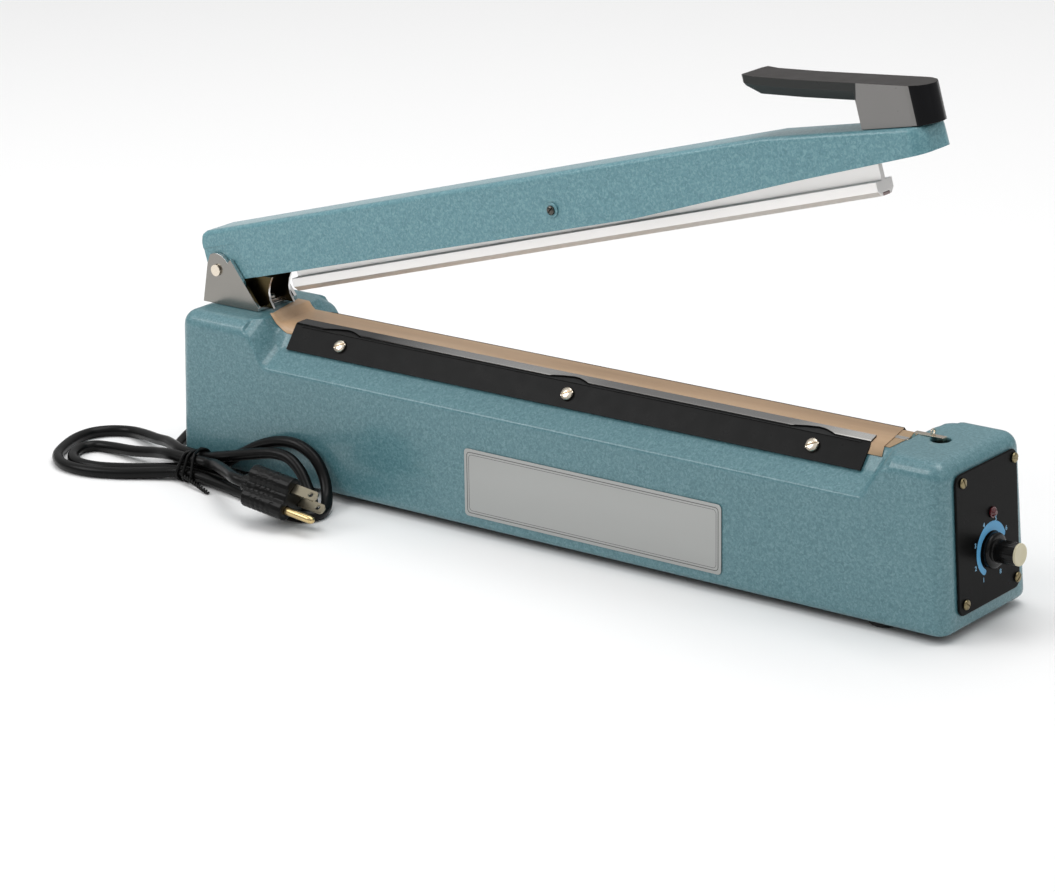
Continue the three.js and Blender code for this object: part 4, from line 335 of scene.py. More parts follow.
def piece(name, mesh, body, material, slot, *replaced):
    """A finished piece that stands for the CAD nodes named, and rides on a body if one is given."""
    mesh.materials.clear()
    mesh.materials.append(material)
    obj = bpy.data.objects.new(name, mesh)
    bpy.context.scene.collection.objects.link(obj)
    if body:
        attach(obj, body)
    if replaced:
        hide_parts(*replaced)
    return obj


def from_bmesh(name, bm, degrees=35):
    mesh = bpy.data.meshes.new(name)
    bmesh.ops.recalc_face_normals(bm, faces=bm.faces)
    bm.to_mesh(mesh)
    bm.free()
    shade(mesh, degrees)
    return mesh


def node_bmesh(node, flat_angle=0.6):
    bm = bmesh.new()
    bm.from_mesh(frame["nodes"][node].data)
    bmesh.ops.remove_doubles(bm, verts=bm.verts, dist=0.002 * MM)
    if flat_angle:
        limit = math.radians(flat_angle)
        bmesh.ops.dissolve_limit(bm, angle_limit=limit, verts=bm.verts, edges=bm.edges)
    return bm


def node_mesh(node):
    """The CAD node's own mesh, with its doubled corners joined."""
    mesh = bpy.data.meshes.new(node)
    bm = node_bmesh(node, 0)
    bm.to_mesh(mesh)
    bm.free()
    return mesh


def bevel(bm, width, segments=2, degrees=32):
    limit = math.radians(degrees)
    edges = [e for e in bm.edges if len(e.link_faces) == 2 and e.calc_face_angle() > limit]
    bmesh.ops.bevel(
        bm,
        geom=edges,
        offset=width * MM,
        offset_type="OFFSET",
        segments=segments,
        profile=0.5,
        affect="EDGES",
        clamp_overlap=True,
    )


def applied(name, mesh, *modifiers):
    """The mesh after a list of modifiers, each a kind and its settings."""
    obj = bpy.data.objects.new(name, mesh)
    bpy.context.scene.collection.objects.link(obj)
    for kind, settings in modifiers:
        modifier = obj.modifiers.new(kind.lower(), kind)
        for key, value in settings.items():
            setattr(modifier, key, value)
    graph = bpy.context.evaluated_depsgraph_get()
    result = bpy.data.meshes.new_from_object(obj.evaluated_get(graph))
    bpy.data.objects.remove(obj)
    return result


def body_of(node):
    return frame["nodes"][node]["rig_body"]


def even(name, mesh):
    """Keeps wide flat faces flat in the shading beside their rounded edges."""
    settings = {"mode": "FACE_AREA", "weight": 50, "keep_sharp": True}
    return applied(name, mesh, ("WEIGHTED_NORMAL", settings))


def recolored(obj, material, chosen):
    """Gives the faces that a test picks a second finish. The test gets a face's middle and direction."""
    obj.data.materials.append(material)
    index = len(obj.data.materials) - 1
    for face in obj.data.polygons:
        if chosen(face.center, face.normal):
            face.material_index = index


def dressed(node, material, slot, width=0.3, segments=2, seam=None, rides=True):
    """The CAD node's own shape with its hard edges rounded, and its faces split at an x if a seam is given.

    A piece that doesn't ride on the node's body gets no body.
    """
    bm = node_bmesh(node)
    if seam:
        every = bm.verts[:] + bm.edges[:] + bm.faces[:]
        bmesh.ops.bisect_plane(bm, geom=every, plane_co=(seam, 0, 0), plane_no=(1, 0, 0))
    if width:
        bevel(bm, width, segments)
    mesh = even(node, from_bmesh(node, bm))
    body = body_of(node) if rides else None
    return piece(f"{node}_fine", mesh, body, material, slot, node)


def softened(node, voxel, rounds, share):
    """The CAD node's own shape with soft, cast edges: remeshed in small cells, smoothed and thinned."""
    soft = applied(
        node,
        node_mesh(node),
        ("REMESH", {"mode": "VOXEL", "voxel_size": voxel * MM}),
        ("SMOOTH", {"factor": 0.5, "iterations": rounds}),
        ("DECIMATE", {"ratio": share}),
    )
    shade(soft, 60)
    return soft


def frame_along(direction, at):
    """Stands +Z along a direction at a place."""
    return Matrix.Translation(at) @ UP.rotation_difference(direction).to_matrix().to_4x4()


def turned(name, profile, steps=48, degrees=40, closed=False):
    """A profile of radius, height pairs in millimetres, turned about +Z."""
    bm = bmesh.new()
    rings = []
    angles = [2 * math.pi * i / steps for i in range(steps)]
    for radius, height in profile:
        reach, z = radius * MM, height * MM
        around = angles if radius else angles[:1]
        rings.append([bm.verts.new((reach * math.cos(a), reach * math.sin(a), z)) for a in around])
    followers = rings[1:] + rings[:1] if closed else rings[1:]
    for low, high in zip(rings, followers):
        for i in range(steps):
            j = (i + 1) % steps
            corners = [low[i % len(low)], low[j % len(low)], high[j % len(high)], high[i % len(high)]]
            unique = list(dict.fromkeys(corners))
            if len(unique) > 2:
                bm.faces.new(unique)
    return from_bmesh(name, bm, degrees)


def bridged(name, lows, highs):
    """A closed solid between two outlines of places."""
    bm = bmesh.new()
    low = [bm.verts.new(p) for p in lows]
    high = [bm.verts.new(p) for p in highs]
    count = len(low)
    for i in range(count):
        j = (i + 1) % count
        bm.faces.new((low[i], low[j], high[j], high[i]))
    bm.faces.new(list(reversed(low)))
    bm.faces.new(high)
    return from_bmesh(name, bm)


def swept(name, outline, left, right):
    """An outline of y, z pairs carried along X between two places, all in millimetres."""
    return bridged(name, *([place(x, y, z) for y, z in outline] for x in (left, right)))


def prism(name, outline, depth, where):
    """A flat outline of x, y pairs, thickened along its +Z and set by a matrix, in millimetres."""
    ends = (0, depth * MM)
    return bridged(name, *([where @ Vector((x * MM, y * MM, z)) for x, y in outline] for z in ends))


def cut(name, mesh, *tools):
    """The mesh with the tool meshes taken out of it."""
    for tool in tools:
        obj = bpy.data.objects.new("tool", tool)
        bpy.context.scene.collection.objects.link(obj)
        settings = {"operation": "DIFFERENCE", "object": obj, "solver": "EXACT"}
        mesh = applied(name, mesh, ("BOOLEAN", settings))
        bpy.data.objects.remove(obj)
    shade(mesh)
    return mesh


def smooth_line(points, steps):
    """A centripetal Catmull-Rom curve through the points, sampled between each pair."""
    ends = [points[0] * 2 - points[1], *points, points[-1] * 2 - points[-2]]
    line = []
    for a, b, c, d in zip(ends, ends[1:], ends[2:], ends[3:]):
        t1 = (b - a).length ** 0.5
        t2 = t1 + (c - b).length ** 0.5
        t3 = t2 + (d - c).length ** 0.5
        for i in range(steps):
            t = t1 + (t2 - t1) * i / steps
            ab = a.lerp(b, t / t1)
            bc = b.lerp(c, (t - t1) / (t2 - t1))
            cd = c.lerp(d, (t - t2) / (t3 - t2))
            abc = ab.lerp(bc, t / t2)
            bcd = bc.lerp(cd, (t - t1) / (t3 - t1))
            line.append(abc.lerp(bcd, (t - t1) / (t2 - t1)))
    line.append(points[-1].copy())
    return line


def tube(name, points, radius, sides=16, closed=False):
    """A round tube through the points, with its radius in millimetres."""
    bm = bmesh.new()
    rings = []
    count = len(points)
    side = None
    for i, point in enumerate(points):
        ahead = points[(i + 1) % count] if closed else points[min(i + 1, count - 1)]
        behind = points[i - 1] if closed else points[max(i - 1, 0)]
        along = (ahead - behind).normalized()
        if side is None:
            side = along.cross(UP if abs(along.z) < 0.9 else RIGHT).normalized()
        side = (side - along * side.dot(along)).normalized()
        other = along.cross(side)
        angles = [2 * math.pi * k / sides for k in range(sides)]
        ring = (point + (side * math.cos(a) + other * math.sin(a)) * radius * MM for a in angles)
        rings.append([bm.verts.new(p) for p in ring])
    pairs = list(zip(rings, rings[1:]))
    if closed:
        pairs.append((rings[-1], rings[0]))
    for low, high in pairs:
        for k in range(sides):
            j = (k + 1) % sides
            bm.faces.new((low[k], low[j], high[j], high[k]))
    if not closed:
        bm.faces.new(list(reversed(rings[0])))
        bm.faces.new(rings[-1])
    return from_bmesh(name, bm, 60)


# ---- Mains cord: one run from the left end, through the tied hank, to the plug ----
CORD_DIAMETER = 7
LEAD_ROUTE = [
    (-287.79, 2, 9),
    (-293, 1.6, 8.8),
    (-299.3, -2.6, 7),
    (-301.8, -10, 4.2),
    (-300.5, -19, 1.6),
    (-296, -29, 0.3),
    (-288, -39.5, 0.3),
    (-279.5, -44.6, 0.5),
    (-269.3, -47.4, 1.2),
]
HANK_ROUTE = [
    (-262, -47.4, 1.2),
    (-247, -47.4, 1.2),
    (-238, -46.9, 6),
    (-225, -46.8, 13.6),
    (-206, -46.8, 23.6),
    (-189.5, -46.8, 28.6),
    (-175, -46.8, 28.6),
    (-162.4, -47.2, 22.6),
    (-154, -49.2, 12.5),
    (-147.5, -55, 3.8),
    (-141, -64.5, -0.3),
    (-139.5, -74, -0.7),
    (-145.6, -80.9, -0.7),
    (-160, -81, -0.7),
    (-183.7, -74.4, -0.7),
    (-206, -68.4, -0.7),
    (-229, -65.2, 0.4),
    (-247, -63.9, 1.2),
    (-258, -63.9, 1.2),
    (-276, -72.2, 0),
    (-294.6, -83, -0.7),
    (-316, -90.4, -0.7),
    (-336, -89, -0.7),
    (-351, -79, -0.7),
    (-361, -62, -0.7),
    (-366, -46, -0.7),
    (-365, -34, -0.7),
    (-357, -24, -0.7),
    (-345, -19.5, -0.5),
    (-328, -24, 1.6),
    (-312, -30.2, 3.6),
    (-298, -35.8, 6),
    (-284, -43.4, 8),
    (-272, -49.4, 8.8),
    (-258, -51.7, 9.2),
    (-247, -51.7, 9.2),
    (-237, -53.4, 12),
    (-224, -55, 15.4),
    (-206, -54.8, 20),
    (-190, -54, 23),
    (-177, -54.4, 22.2),
    (-167, -56, 16.5),
    (-158.8, -59, 8.2),
    (-152.8, -62.4, 2.4),
    (-149.2, -67, -0.5),
    (-150.8, -71.6, -0.7),
    (-156.5, -72.8, -0.7),
    (-165.2, -71.1, -0.7),
    (-184, -66.2, -0.7),
    (-206, -60.2, -0.7),
    (-229, -57.2, 0.4),
    (-247, -55.6, 1.2),
    (-258, -55.6, 1.2),
    (-276, -62.8, 0),
    (-296, -73.6, -0.7),
    (-316, -82, -0.7),
    (-332, -81.2, -0.7),
    (-343.5, -73, -0.7),
    (-349, -61, -0.7),
    (-345, -52.5, -0.7),
    (-333, -50, -0.2),
    (-312, -51.5, 1.6),
    (-290, -53.5, 5.2),
    (-272, -58.4, 8.6),
    (-258, -59.9, 9.2),
    (-246, -59.9, 9.2),
]
TAIL_ROUTE = [(-239, -59.9, 9.2), (-225, -68, 13), (-200, -84, 17.6)]

# Plug frame: x runs along its prongs, out of its front face
PLUG_FRONT = place(-140.5, -91.5, 13.5)
PLUG_ROLL, PLUG_LIFT, PLUG_YAW = (math.radians(a) for a in (-55, 8, 3))
PLUG_TURN = Matrix.Rotation(PLUG_YAW, 4, "Z") @ Matrix.Rotation(PLUG_LIFT, 4, "Y")
PLUG_TURN = PLUG_TURN @ Matrix.Rotation(PLUG_ROLL, 4, "X")
PLUG = Matrix.Translation(PLUG_FRONT) @ PLUG_TURN
PLUG_NECK_END = -37.3


def cord_points():
    route = [place(*p) for p in LEAD_ROUTE + HANK_ROUTE + TAIL_ROUTE]
    for x in (PLUG_NECK_END - CORD_DIAMETER, PLUG_NECK_END):
        route.append(PLUG @ Vector((x * MM, 0, 0)))
    return smooth_line(route, 5)


def make_cord():
    points = cord_points()
    data = bpy.data.curves.new("cord", "CURVE")
    data.dimensions = "3D"
    spline = data.splines.new("POLY")
    spline.points.add(len(points) - 1)
    for target, point in zip(spline.points, points):
        target.co = (*point, 1)
    data.bevel_depth = CORD_DIAMETER / 2 * MM
    data.bevel_resolution = 6
    data.use_fill_caps = True
    data.materials.append(CORD_PVC)
    cord = bpy.data.objects.new("mains_cord", data)
    bpy.context.scene.collection.objects.link(cord)
    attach(cord, "base")
    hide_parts("cord_lead", "cord_hank", "cord_tail")
    return cord, sum((b - a).length for a, b in zip(points, points[1:]))


CORD, CORD_RUN = make_cord()


# ---- Plug ----
BLADE_SPACING = 12.7
BLADE_TO_PIN = 11.9
BLADE_HEIGHT = BLADE_TO_PIN / 3
PIN_HEIGHT = BLADE_HEIGHT - BLADE_TO_PIN
BLADE_THICKNESS = 1.5
PRONG_ROOT = -5.7
NECK_RING = {"start": -30.5, "depth": 0.45, "pitch": 2.3}
GRIP_RIB = {"back": -27, "front": -8, "depth": 0.35, "pitch": 3.8}
PLUG_CORE = 4.5


def groove_at(x):
    """How deep the plug's surface is cut at a place along it."""
    if x < NECK_RING["start"]:
        turn = 2 * math.pi * (x - NECK_RING["start"]) / NECK_RING["pitch"]
        return NECK_RING["depth"] * (0.5 - 0.5 * math.cos(turn))
    if GRIP_RIB["back"] < x < GRIP_RIB["front"]:
        turn = 2 * math.pi * (x - GRIP_RIB["front"]) / GRIP_RIB["pitch"]
        return GRIP_RIB["depth"] * max(0.0, math.cos(turn)) ** 2
    return 0.0


def plug_body():
    """The moulded body, softened, with grip ribs on its back half and a ringed neck."""
    soft = softened("plug_body", 0.45, 5, 0.5)
    back = PLUG.inverted()
    for vertex in soft.vertices:
        local = back @ vertex.co
        groove = groove_at(local.x / MM)
        out = Vector((0, local.y, local.z))
        if groove and out.length > PLUG_CORE * MM:
            local -= out.normalized() * groove * MM
            vertex.co = PLUG @ local
    return piece("plug_body_fine", soft, "base", CORD_PVC, "black_rubber", "plug_body")


def plug_blade(node, y):
    """A flat blade with a rounded tip and the round hole near it."""
    low, high, tip = -3.15, 3.15, 17.5
    outline = [(PRONG_ROOT, low), (tip - 1.6, low), (tip - 0.5, low + 0.7), (tip, low + 1.9)]
    outline += [(tip, high - 1.9), (tip - 0.5, high - 0.7), (tip - 1.6, high), (PRONG_ROOT, high)]
    where = PLUG @ Matrix.Translation(Vector((0, (y + BLADE_THICKNESS / 2) * MM, BLADE_HEIGHT * MM)))
    where = where @ Matrix.Rotation(math.radians(90), 4, "X")
    blade = prism(node, outline, BLADE_THICKNESS, where)
    hole_at, radius, sides, depth = 13, 1.7, 24, 4
    angles = [2 * math.pi * i / sides for i in range(sides)]
    hole = [(hole_at + radius * math.cos(a), radius * math.sin(a)) for a in angles]
    early = (depth - BLADE_THICKNESS) / 2
    tool = prism("hole", hole, depth, where @ Matrix.Translation((0, 0, -early * MM)))
    return piece(f"{node}_fine", cut(node, blade, tool), "base", BLADE_BRASS, "brass_metal", node)


def plug_pin():
    profile = [(0, PRONG_ROOT), (2.4, PRONG_ROOT), (2.4, 17)]
    profile += [(2.25, 18.6), (1.8, 19.9), (1.1, 20.7), (0, 21)]
    mesh = turned("pin", profile, 32)
    where = PLUG @ Matrix.Translation((0, 0, PIN_HEIGHT * MM))
    mesh.transform(where @ UP.rotation_difference(RIGHT).to_matrix().to_4x4())
    return piece("plug_pin_fine", mesh, "base", BRASS, "brass_metal", "plug_pin")


plug_pieces = [plug_body(), plug_pin()]
plug_pieces.append(plug_blade("plug_blade_near", -BLADE_SPACING / 2))
plug_pieces.append(plug_blade("plug_blade_far", BLADE_SPACING / 2))


# ---- Twisted wire tie round the hank ----
TIE_X = -252.5
OUTER_STRANDS = [(-47.4, 1.2), (-51.7, 9.2), (-59.9, 9.2), (-63.9, 1.2)]


def tie_loop(lean, shift, steps=64):
    """A loop close round the strands at the tie, leaning along X."""
    reach = CORD_DIAMETER / 2 + 1.0
    middle_y = sum(y for y, z in OUTER_STRANDS) / len(OUTER_STRANDS)
    points = []
    for i in range(steps):
        a = 2 * math.pi * i / steps
        way = (math.cos(a), math.sin(a))
        best = max(OUTER_STRANDS, key=lambda c: c[0] * way[0] + c[1] * way[1])
        y, z = best[0] + reach * way[0], best[1] + reach * way[1]
        x = TIE_X + shift + lean * (y - middle_y) / 12
        points.append(place(x, y, z))
    return points


def wire_twist(start, end, turns, spread, phase):
    along = (end - start).normalized()
    side = along.cross(UP).normalized()
    other = along.cross(side)
    points = []
    steps = 14 * turns
    for i in range(steps + 1):
        share = i / steps
        a = 2 * math.pi * turns * share + phase
        reach = spread * MM
        points.append(start.lerp(end, share) + (side * math.cos(a) + other * math.sin(a)) * reach)
    return points


def join_meshes(name, *meshes):
    bm = bmesh.new()
    for mesh in meshes:
        bm.from_mesh(mesh)
    return from_bmesh(name, bm, 60)


def tie():
    strands = []
    for lean, shift in ((5.0, -0.9), (-5.0, 0.9), (0.8, 0)):
        strands.append(tube("tie", tie_loop(lean, shift), 0.95, 12, closed=True))
    knot = place(TIE_X, -68.3, 1.2)
    end = place(-226.5, -75.2, -2.9)
    for phase in (0, math.pi):
        strands.append(tube("tie", wire_twist(knot, end, 5, 0.75, phase), 0.7, 10))
    mesh = join_meshes("tie", *strands)
    return piece("wire_tie", mesh, "base", CORD_PVC, "black_rubber", "cord_tie")


plug_pieces.append(tie())


# ---- Housing, arm and handle: soft, cast or moulded edges ----
casting = softened("housing", 0.95, 2, 0.35)
piece("housing_fine", casting, body_of("housing"), ENAMEL, "hammertone_paint", "housing")
dressed("arm", ARM_ENAMEL_PAINTED_SHEEN, "hammertone_paint", 0.8, 3)


def handle():
    """The grip, one black plastic with painted reflection in its colours: a brownish top and flanks, a post
    whose flank is painted light grey, and a glossy nose.
    """
    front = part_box("handle")[1].x
    post, nose = front - 47 * MM, front - 12.5 * MM
    grip = dressed("handle", HANDLE_TOP, "black_plastic", 0.6, 3, seam=post)

    def on_flank(way):
        return abs(way.y) > 0.8

    def below(middle, way):
        return way.z < -0.5 or (on_flank(way) and middle.x < post)

    # The post's flank is painted light grey as a painted reflection.
    recolored(grip, HANDLE_POST_REFLECTION, lambda middle, way: on_flank(way) and post < middle.x < nose)
    recolored(grip, HANDLE_UNDER, below)
    recolored(grip, HANDLE_NOSE, lambda middle, way: middle.x >= nose and way.z < 0.6)


handle()


# ---- Screws: head radius, head height, shank radius and shank length, in millimetres ----
CLAMP_SCREW = (4.1, 2.2, 1.75, 8)
PANEL_SCREW = (2.9, 1.4, 1.5, 8)
BRACKET_SCREW = (3.2, 2, 1.75, 12)
COVER_SCREW = (2.8, 1.6, 1.5, 10)


def screw(node, at, direction, head, height, shank, length, material, slot_name, turn=0.0):
    """A slotted pan-head screw. Its head rests at a place and looks along a direction."""
    profile = [
        (0, -length),
        (shank * 0.7, -length),
        (shank, -length + shank * 0.6),
        (shank, 0),
        (head * 0.96, 0),
        (head, height * 0.16),
        (head * 0.99, height * 0.42),
        (head * 0.9, height * 0.72),
        (head * 0.66, height * 0.92),
        (head * 0.3, height),
        (0, height),
    ]
    mesh = turned(node, profile, 40)
    wide = max(0.35, head * 0.13)
    groove = prism(
        "slot",
        [(-head - 1, -wide), (head + 1, -wide), (head + 1, wide), (-head - 1, wide)],
        height,
        Matrix.Rotation(turn, 4, "Z") @ Matrix.Translation((0, 0, height * 0.45 * MM)),
    )
    mesh = cut(node, mesh, groove)
    mesh.transform(frame_along(direction, at))
    return piece(f"{node}_fine", mesh, body_of(node), material, slot_name, node)


# The slope beside the platform, where the clamp strips lie
PLATFORM_HEIGHT, SHOULDER_HEIGHT = 91.0, 79.0
PLATFORM_HALF, SHOULDER_HALF = 15.2, 25.4
SLOPE = Vector((0, SHOULDER_HALF - PLATFORM_HALF, PLATFORM_HEIGHT - SHOULDER_HEIGHT))
SLOPE_UP = SLOPE.normalized()
SLOPE_OUT = Vector((0, -SLOPE_UP.z, SLOPE_UP.y))
STRIP_LEFT, STRIP_RIGHT = -201.5, 216.0
CLAMP_SCREWS = {"left": -160.6, "middle": 12.2, "right": 181.7}


def slope_point(x, along, out):
    """A place on the near slope, in millimetres of the housing's frame."""
    foot = Vector((x, -SHOULDER_HALF, SHOULDER_HEIGHT))
    return foot + SLOPE_UP * along + SLOPE_OUT * out


for name, x in CLAMP_SCREWS.items():
    near = slope_point(x, SLOPE.length / 2, 2.0)
    far = Vector((near.x, -near.y, near.z))
    far_out = Vector((0, -SLOPE_OUT.y, SLOPE_OUT.z))
    for side, at, out, turn in (("front", near, SLOPE_OUT, 0.5), ("rear", far, far_out, 1.1)):
        node = f"clamp_screw_{side}_{name}"
        screw(node, place(*at), out, *CLAMP_SCREW, WARM_STEEL, "zinc_steel", turn)

# The panel's face: local x along +Y, local y up the drafted face and local z out of it
FACE_OUT = Vector((math.cos(DRAFT), 0, math.sin(DRAFT)))
FACE_UP = Vector((-math.sin(DRAFT), 0, math.cos(DRAFT)))
PANEL = Matrix((FAR, FACE_UP, FACE_OUT)).transposed().to_4x4()
PANEL.translation = place(HALF_LENGTH, 0, 0)
PANEL_PROUD = 1.8
PANEL_BACK = 0.3


def on_panel(x, y, z):
    return PANEL @ (Vector((x, y, z)) * MM)


PANEL_SCREWS = {
    "near_low": (-24, 15.4, 0.9),
    "near_high": (-24, 83.3, 0.4),
    "far_low": (27, 15.4, 2.2),
    "far_high": (27, 83.3, 1.3),
}
for name, (y, height, turn) in PANEL_SCREWS.items():
    at = on_panel(y, height, PANEL_PROUD + 0.3)
    screw(f"panel_screw_{name}", at, FACE_OUT, *PANEL_SCREW, DULL_BRASS, "brass_metal", turn)

for node, turn in (("bracket_screw_rear", 0.3), ("bracket_screw_front", 1.2)):
    low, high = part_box(node)
    at = Vector(((low.x + high.x) / 2, (low.y + high.y) / 2, high.z - 2 * MM))
    screw(node, at, UP, *BRACKET_SCREW, ZINC, "zinc_steel", turn)
for node in ("cover_screw_left", "cover_screw_right"):
    low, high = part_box(node)
    at = Vector(((low.x + high.x) / 2, (low.y + high.y) / 2, low.z + 1.6 * MM))
    screw(node, at, -UP, *COVER_SCREW, ZINC, "zinc_steel", 0.6)

# The bar's cross screw lies along Y, with its head on the near side
low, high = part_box("cross_screw")
cross_at = Vector(((low.x + high.x) / 2, low.y + 2.4 * MM, (low.z + high.z) / 2))
cross_length = (high.y - cross_at.y) / MM
screw("cross_screw", cross_at, -FAR, 2.7, 2.2, 2.45, cross_length, DARK_STEEL, "chrome_plate", 0.9)
WASHER = [(2.75, 0), (4.5, 0), (4.5, 0.5), (4.2, 0.8), (2.9, 0.8), (2.75, 0.7), (2.75, 0)]
washer = turned("washer", WASHER)
washer.transform(frame_along(-FAR, cross_at))
piece("cross_screw_washer", washer, "arm", ARM_ENAMEL_PAINTED_SHEEN, "hammertone_paint")


# ---- Front clamp strip: a folded lip with an arch notch over each screw ----
STRIP_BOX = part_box("clamp_strip_front")
LIP_HIGH = (STRIP_BOX[1].z - ORIGIN.z) / MM
LIP_LOW = LIP_HIGH - 1.1
LIP_REAR = -5.6
STRIP_IN, STRIP_OUT = 0.75, 1.7
STRIP_FOOT = -0.315
BEND_REACH = 1.1
ARCH = [(-23, -18.2), (-16.5, -14.6), (-10.4, -12), (-3.6, -10.2), (0.6, -10.7), (4.6, -12.4)]
ARCH += [(9, -14.8), (14, -17), (14.6, -19.5), (-24.5, -19.5)]


def slope_at_height(z, out):
    along = (z - SHOULDER_HEIGHT - SLOPE_OUT.z * out) / SLOPE_UP.z
    point = slope_point(0, along, out)
    return point.y, point.z


def front_strip():
    low_out = slope_point(0, STRIP_FOOT, STRIP_OUT)
    low_in = slope_point(0, STRIP_FOOT, STRIP_IN)
    bend_in = slope_at_height(LIP_LOW, STRIP_IN)
    soft = slope_at_height(LIP_LOW, STRIP_OUT)
    bend = slope_at_height(LIP_HIGH, STRIP_OUT)
    corner = (bend[0] + BEND_REACH, LIP_HIGH)
    curve = []
    for i in range(5):
        t = i / 4
        a = Vector(corner).lerp(Vector(bend), t)
        b = Vector(bend).lerp(Vector(soft), t)
        curve.append(tuple(a.lerp(b, t)))
    outline = [(low_out.y, low_out.z), (low_in.y, low_in.z), bend_in]
    outline += [(LIP_REAR, LIP_LOW), (LIP_REAR, LIP_HIGH - 0.25), (LIP_REAR - 0.3, LIP_HIGH), *curve]
    mesh = swept("strip", outline, STRIP_LEFT, STRIP_RIGHT)
    tools = []
    for x in CLAMP_SCREWS.values():
        outline = [(x + u, v) for u, v in ARCH]
        tools.append(prism("arch", outline, 3, Matrix.Translation(place(0, 0, LIP_LOW - 0.35))))
    right_cut = [(-4, -3.6), (2, -3.6), (2, -17), (0, -17)]
    left_cut = [(-2, -28), (1.4, -28), (-0.4, -3), (-2, -3)]
    for end, corners, height in ((STRIP_RIGHT, right_cut, 79), (STRIP_LEFT, left_cut, 77)):
        outline = [(end + u, v) for u, v in corners]
        tools.append(prism("end", outline, 20, Matrix.Translation(place(0, 0, height))))
    mesh = even("strip", cut("strip", mesh, *tools))
    strip = piece("clamp_strip_front_fine", mesh, "base", STRIP_BLACK, "black_steel", "clamp_strip_front")
    # The lip's upward faces take the painted reflection, dark at the hinge end and bright towards the panel
    # end.
    recolored(strip, LIP_REFLECTION, lambda middle, way: way.z > 0.9)


def strip_pad():
    """The matte black underlay that shows in the notches."""
    low, high = LIP_LOW - 0.22, LIP_LOW - 0.02
    outline = [(-17.2, low), (-8.5, low), (-8.5, high), (-17.2, high)]
    mesh = swept("pad", outline, STRIP_LEFT + 6, STRIP_RIGHT - 6)
    piece("clamp_strip_underlay", mesh, "base", PAD_BLACK, "black_steel")


front_strip()
strip_pad()
dressed("clamp_strip_rear", STRIP_BLACK, "black_steel", 0.25)


# ---- Non-stick sheet, insulation, element and its terminals ----
def sheet():
    bm = node_bmesh("ptfe_sheet", 0)
    mesh = from_bmesh("sheet", bm, 70)
    cloth = piece("ptfe_sheet_fine", mesh, "base", CLOTH, "tan_cloth", "ptfe_sheet")


sheet()
dressed("insulation_strip", INSULATION, "pale_insulation", 0)


def lengthening_ribbon():
    """The heating ribbon, on no body, with its placement baked into its mesh."""
    ribbon = dressed("heating_element", ZINC, "zinc_steel", 0.05, 1, rides=False)
    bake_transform(ribbon)


lengthening_ribbon()
dressed("terminal_block", IVORY, "ivory_plastic", 0.4)
dressed("terminal_right", WARM_STEEL, "brass_metal", 0.08, 1)
dressed("silicone_strip", SILICONE, "red_silicone", 0.3)
dressed("pressure_bar", ALUMINIUM, "bright_aluminium", 0.35)
dressed("bar_hanger", CHROME, "chrome_plate", 0.35)


def wire(node, material, slot_name, rides=True):
    """The CAD node's wire with round instead of faceted sides."""
    rounded = applied(node, node_mesh(node), ("SUBSURF", {"levels": 1}))
    shade(rounded, 60)
    body = body_of(node) if rides else None
    return piece(f"{node}_fine", rounded, body, material, slot_name, node)


def shortening_spring():
    """The tension spring, on its node's body, with a mesh of its own."""
    spring = wire("tension_spring", ZINC, "zinc_steel")
    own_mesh(spring)


def winding_spring():
    """The return spring, on no body, with its placement baked into its mesh."""
    spring = wire("return_spring", ZINC, "zinc_steel", rides=False)
    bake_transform(spring)


shortening_spring()
winding_spring()

# ---- Hinge, feet, switch and everything inside ----
# The ear's rounded rims keep the bright chrome as a painted rim highlight; its flat faces take the darker
# satin steel.
recolored(
    dressed("hinge_bracket", CHROME, "chrome_plate", 0.75, 3),
    SATIN_STEEL,
    lambda middle, way: abs(way.y) > 0.95,
)
# The plates' flat faces are painted olive-brown as a painted reflection; their rims keep the bright chrome
# as a painted highlight.
recolored(
    dressed("inner_bracket", CHROME, "chrome_plate", 0.3),
    OLIVE_REFLECTION_STEEL,
    lambda middle, way: abs(way.y) > 0.9,
)
dressed("hinge_pin", WARM_STEEL, "chrome_plate", 0.35, 3)
dressed("cross_nut", CHROME, "chrome_plate", 0.4)
dressed("handle_screw", ZINC, "zinc_steel", 0.3)
dressed("bottom_cover", COVER_BLACK, "black_steel", 0.3)
for corner in ("front_left", "front_right", "rear_left", "rear_right"):
    dressed(f"foot_{corner}", RUBBER, "black_rubber", 0.6, 3)
dressed("transformer_core", IRON, "dark_iron", 0.3)
dressed("transformer_coil", VARNISH, "coil_varnish", 1.0, 3)
dressed("microswitch", BLACK_PLASTIC, "black_plastic", 0.4)
dressed("switch_rod", ZINC, "zinc_steel", 0.4)
dressed("timer_board", BOARD, "circuit_board", 0.2)
dressed("potentiometer", ZINC, "zinc_steel", 0.3)
dressed("led_lens", RED_LENS, "red_lens", 0.25)
dressed("label_plate", LABEL_SILVER, "bright_aluminium", 0.12)


# ---- Panel plate, dial and knob ----
KNOB_Y, KNOB_HEIGHT = 2.5, 38.4
KNOB_AXIS = PANEL @ Matrix.Translation(Vector((KNOB_Y, KNOB_HEIGHT, 0)) * MM)


def round_knob(radius, angle):
    """A place on the panel, at a distance and an angle about the knob's axis."""
    return KNOB_Y + radius * math.cos(angle), KNOB_HEIGHT + radius * math.sin(angle)


def rounded_rect(left, right, low, high, radius, steps=6):
    corners = [(right, high, 0), (left, high, 90), (left, low, 180), (right, low, 270)]
    points = []
    for x, y, start in corners:
        cx = x - radius if x == right else x + radius
        cy = y - radius if y == high else y + radius
        for i in range(steps + 1):
            a = math.radians(start + 90 * i / steps)
            points.append((cx + radius * math.cos(a), cy + radius * math.sin(a)))
    return points


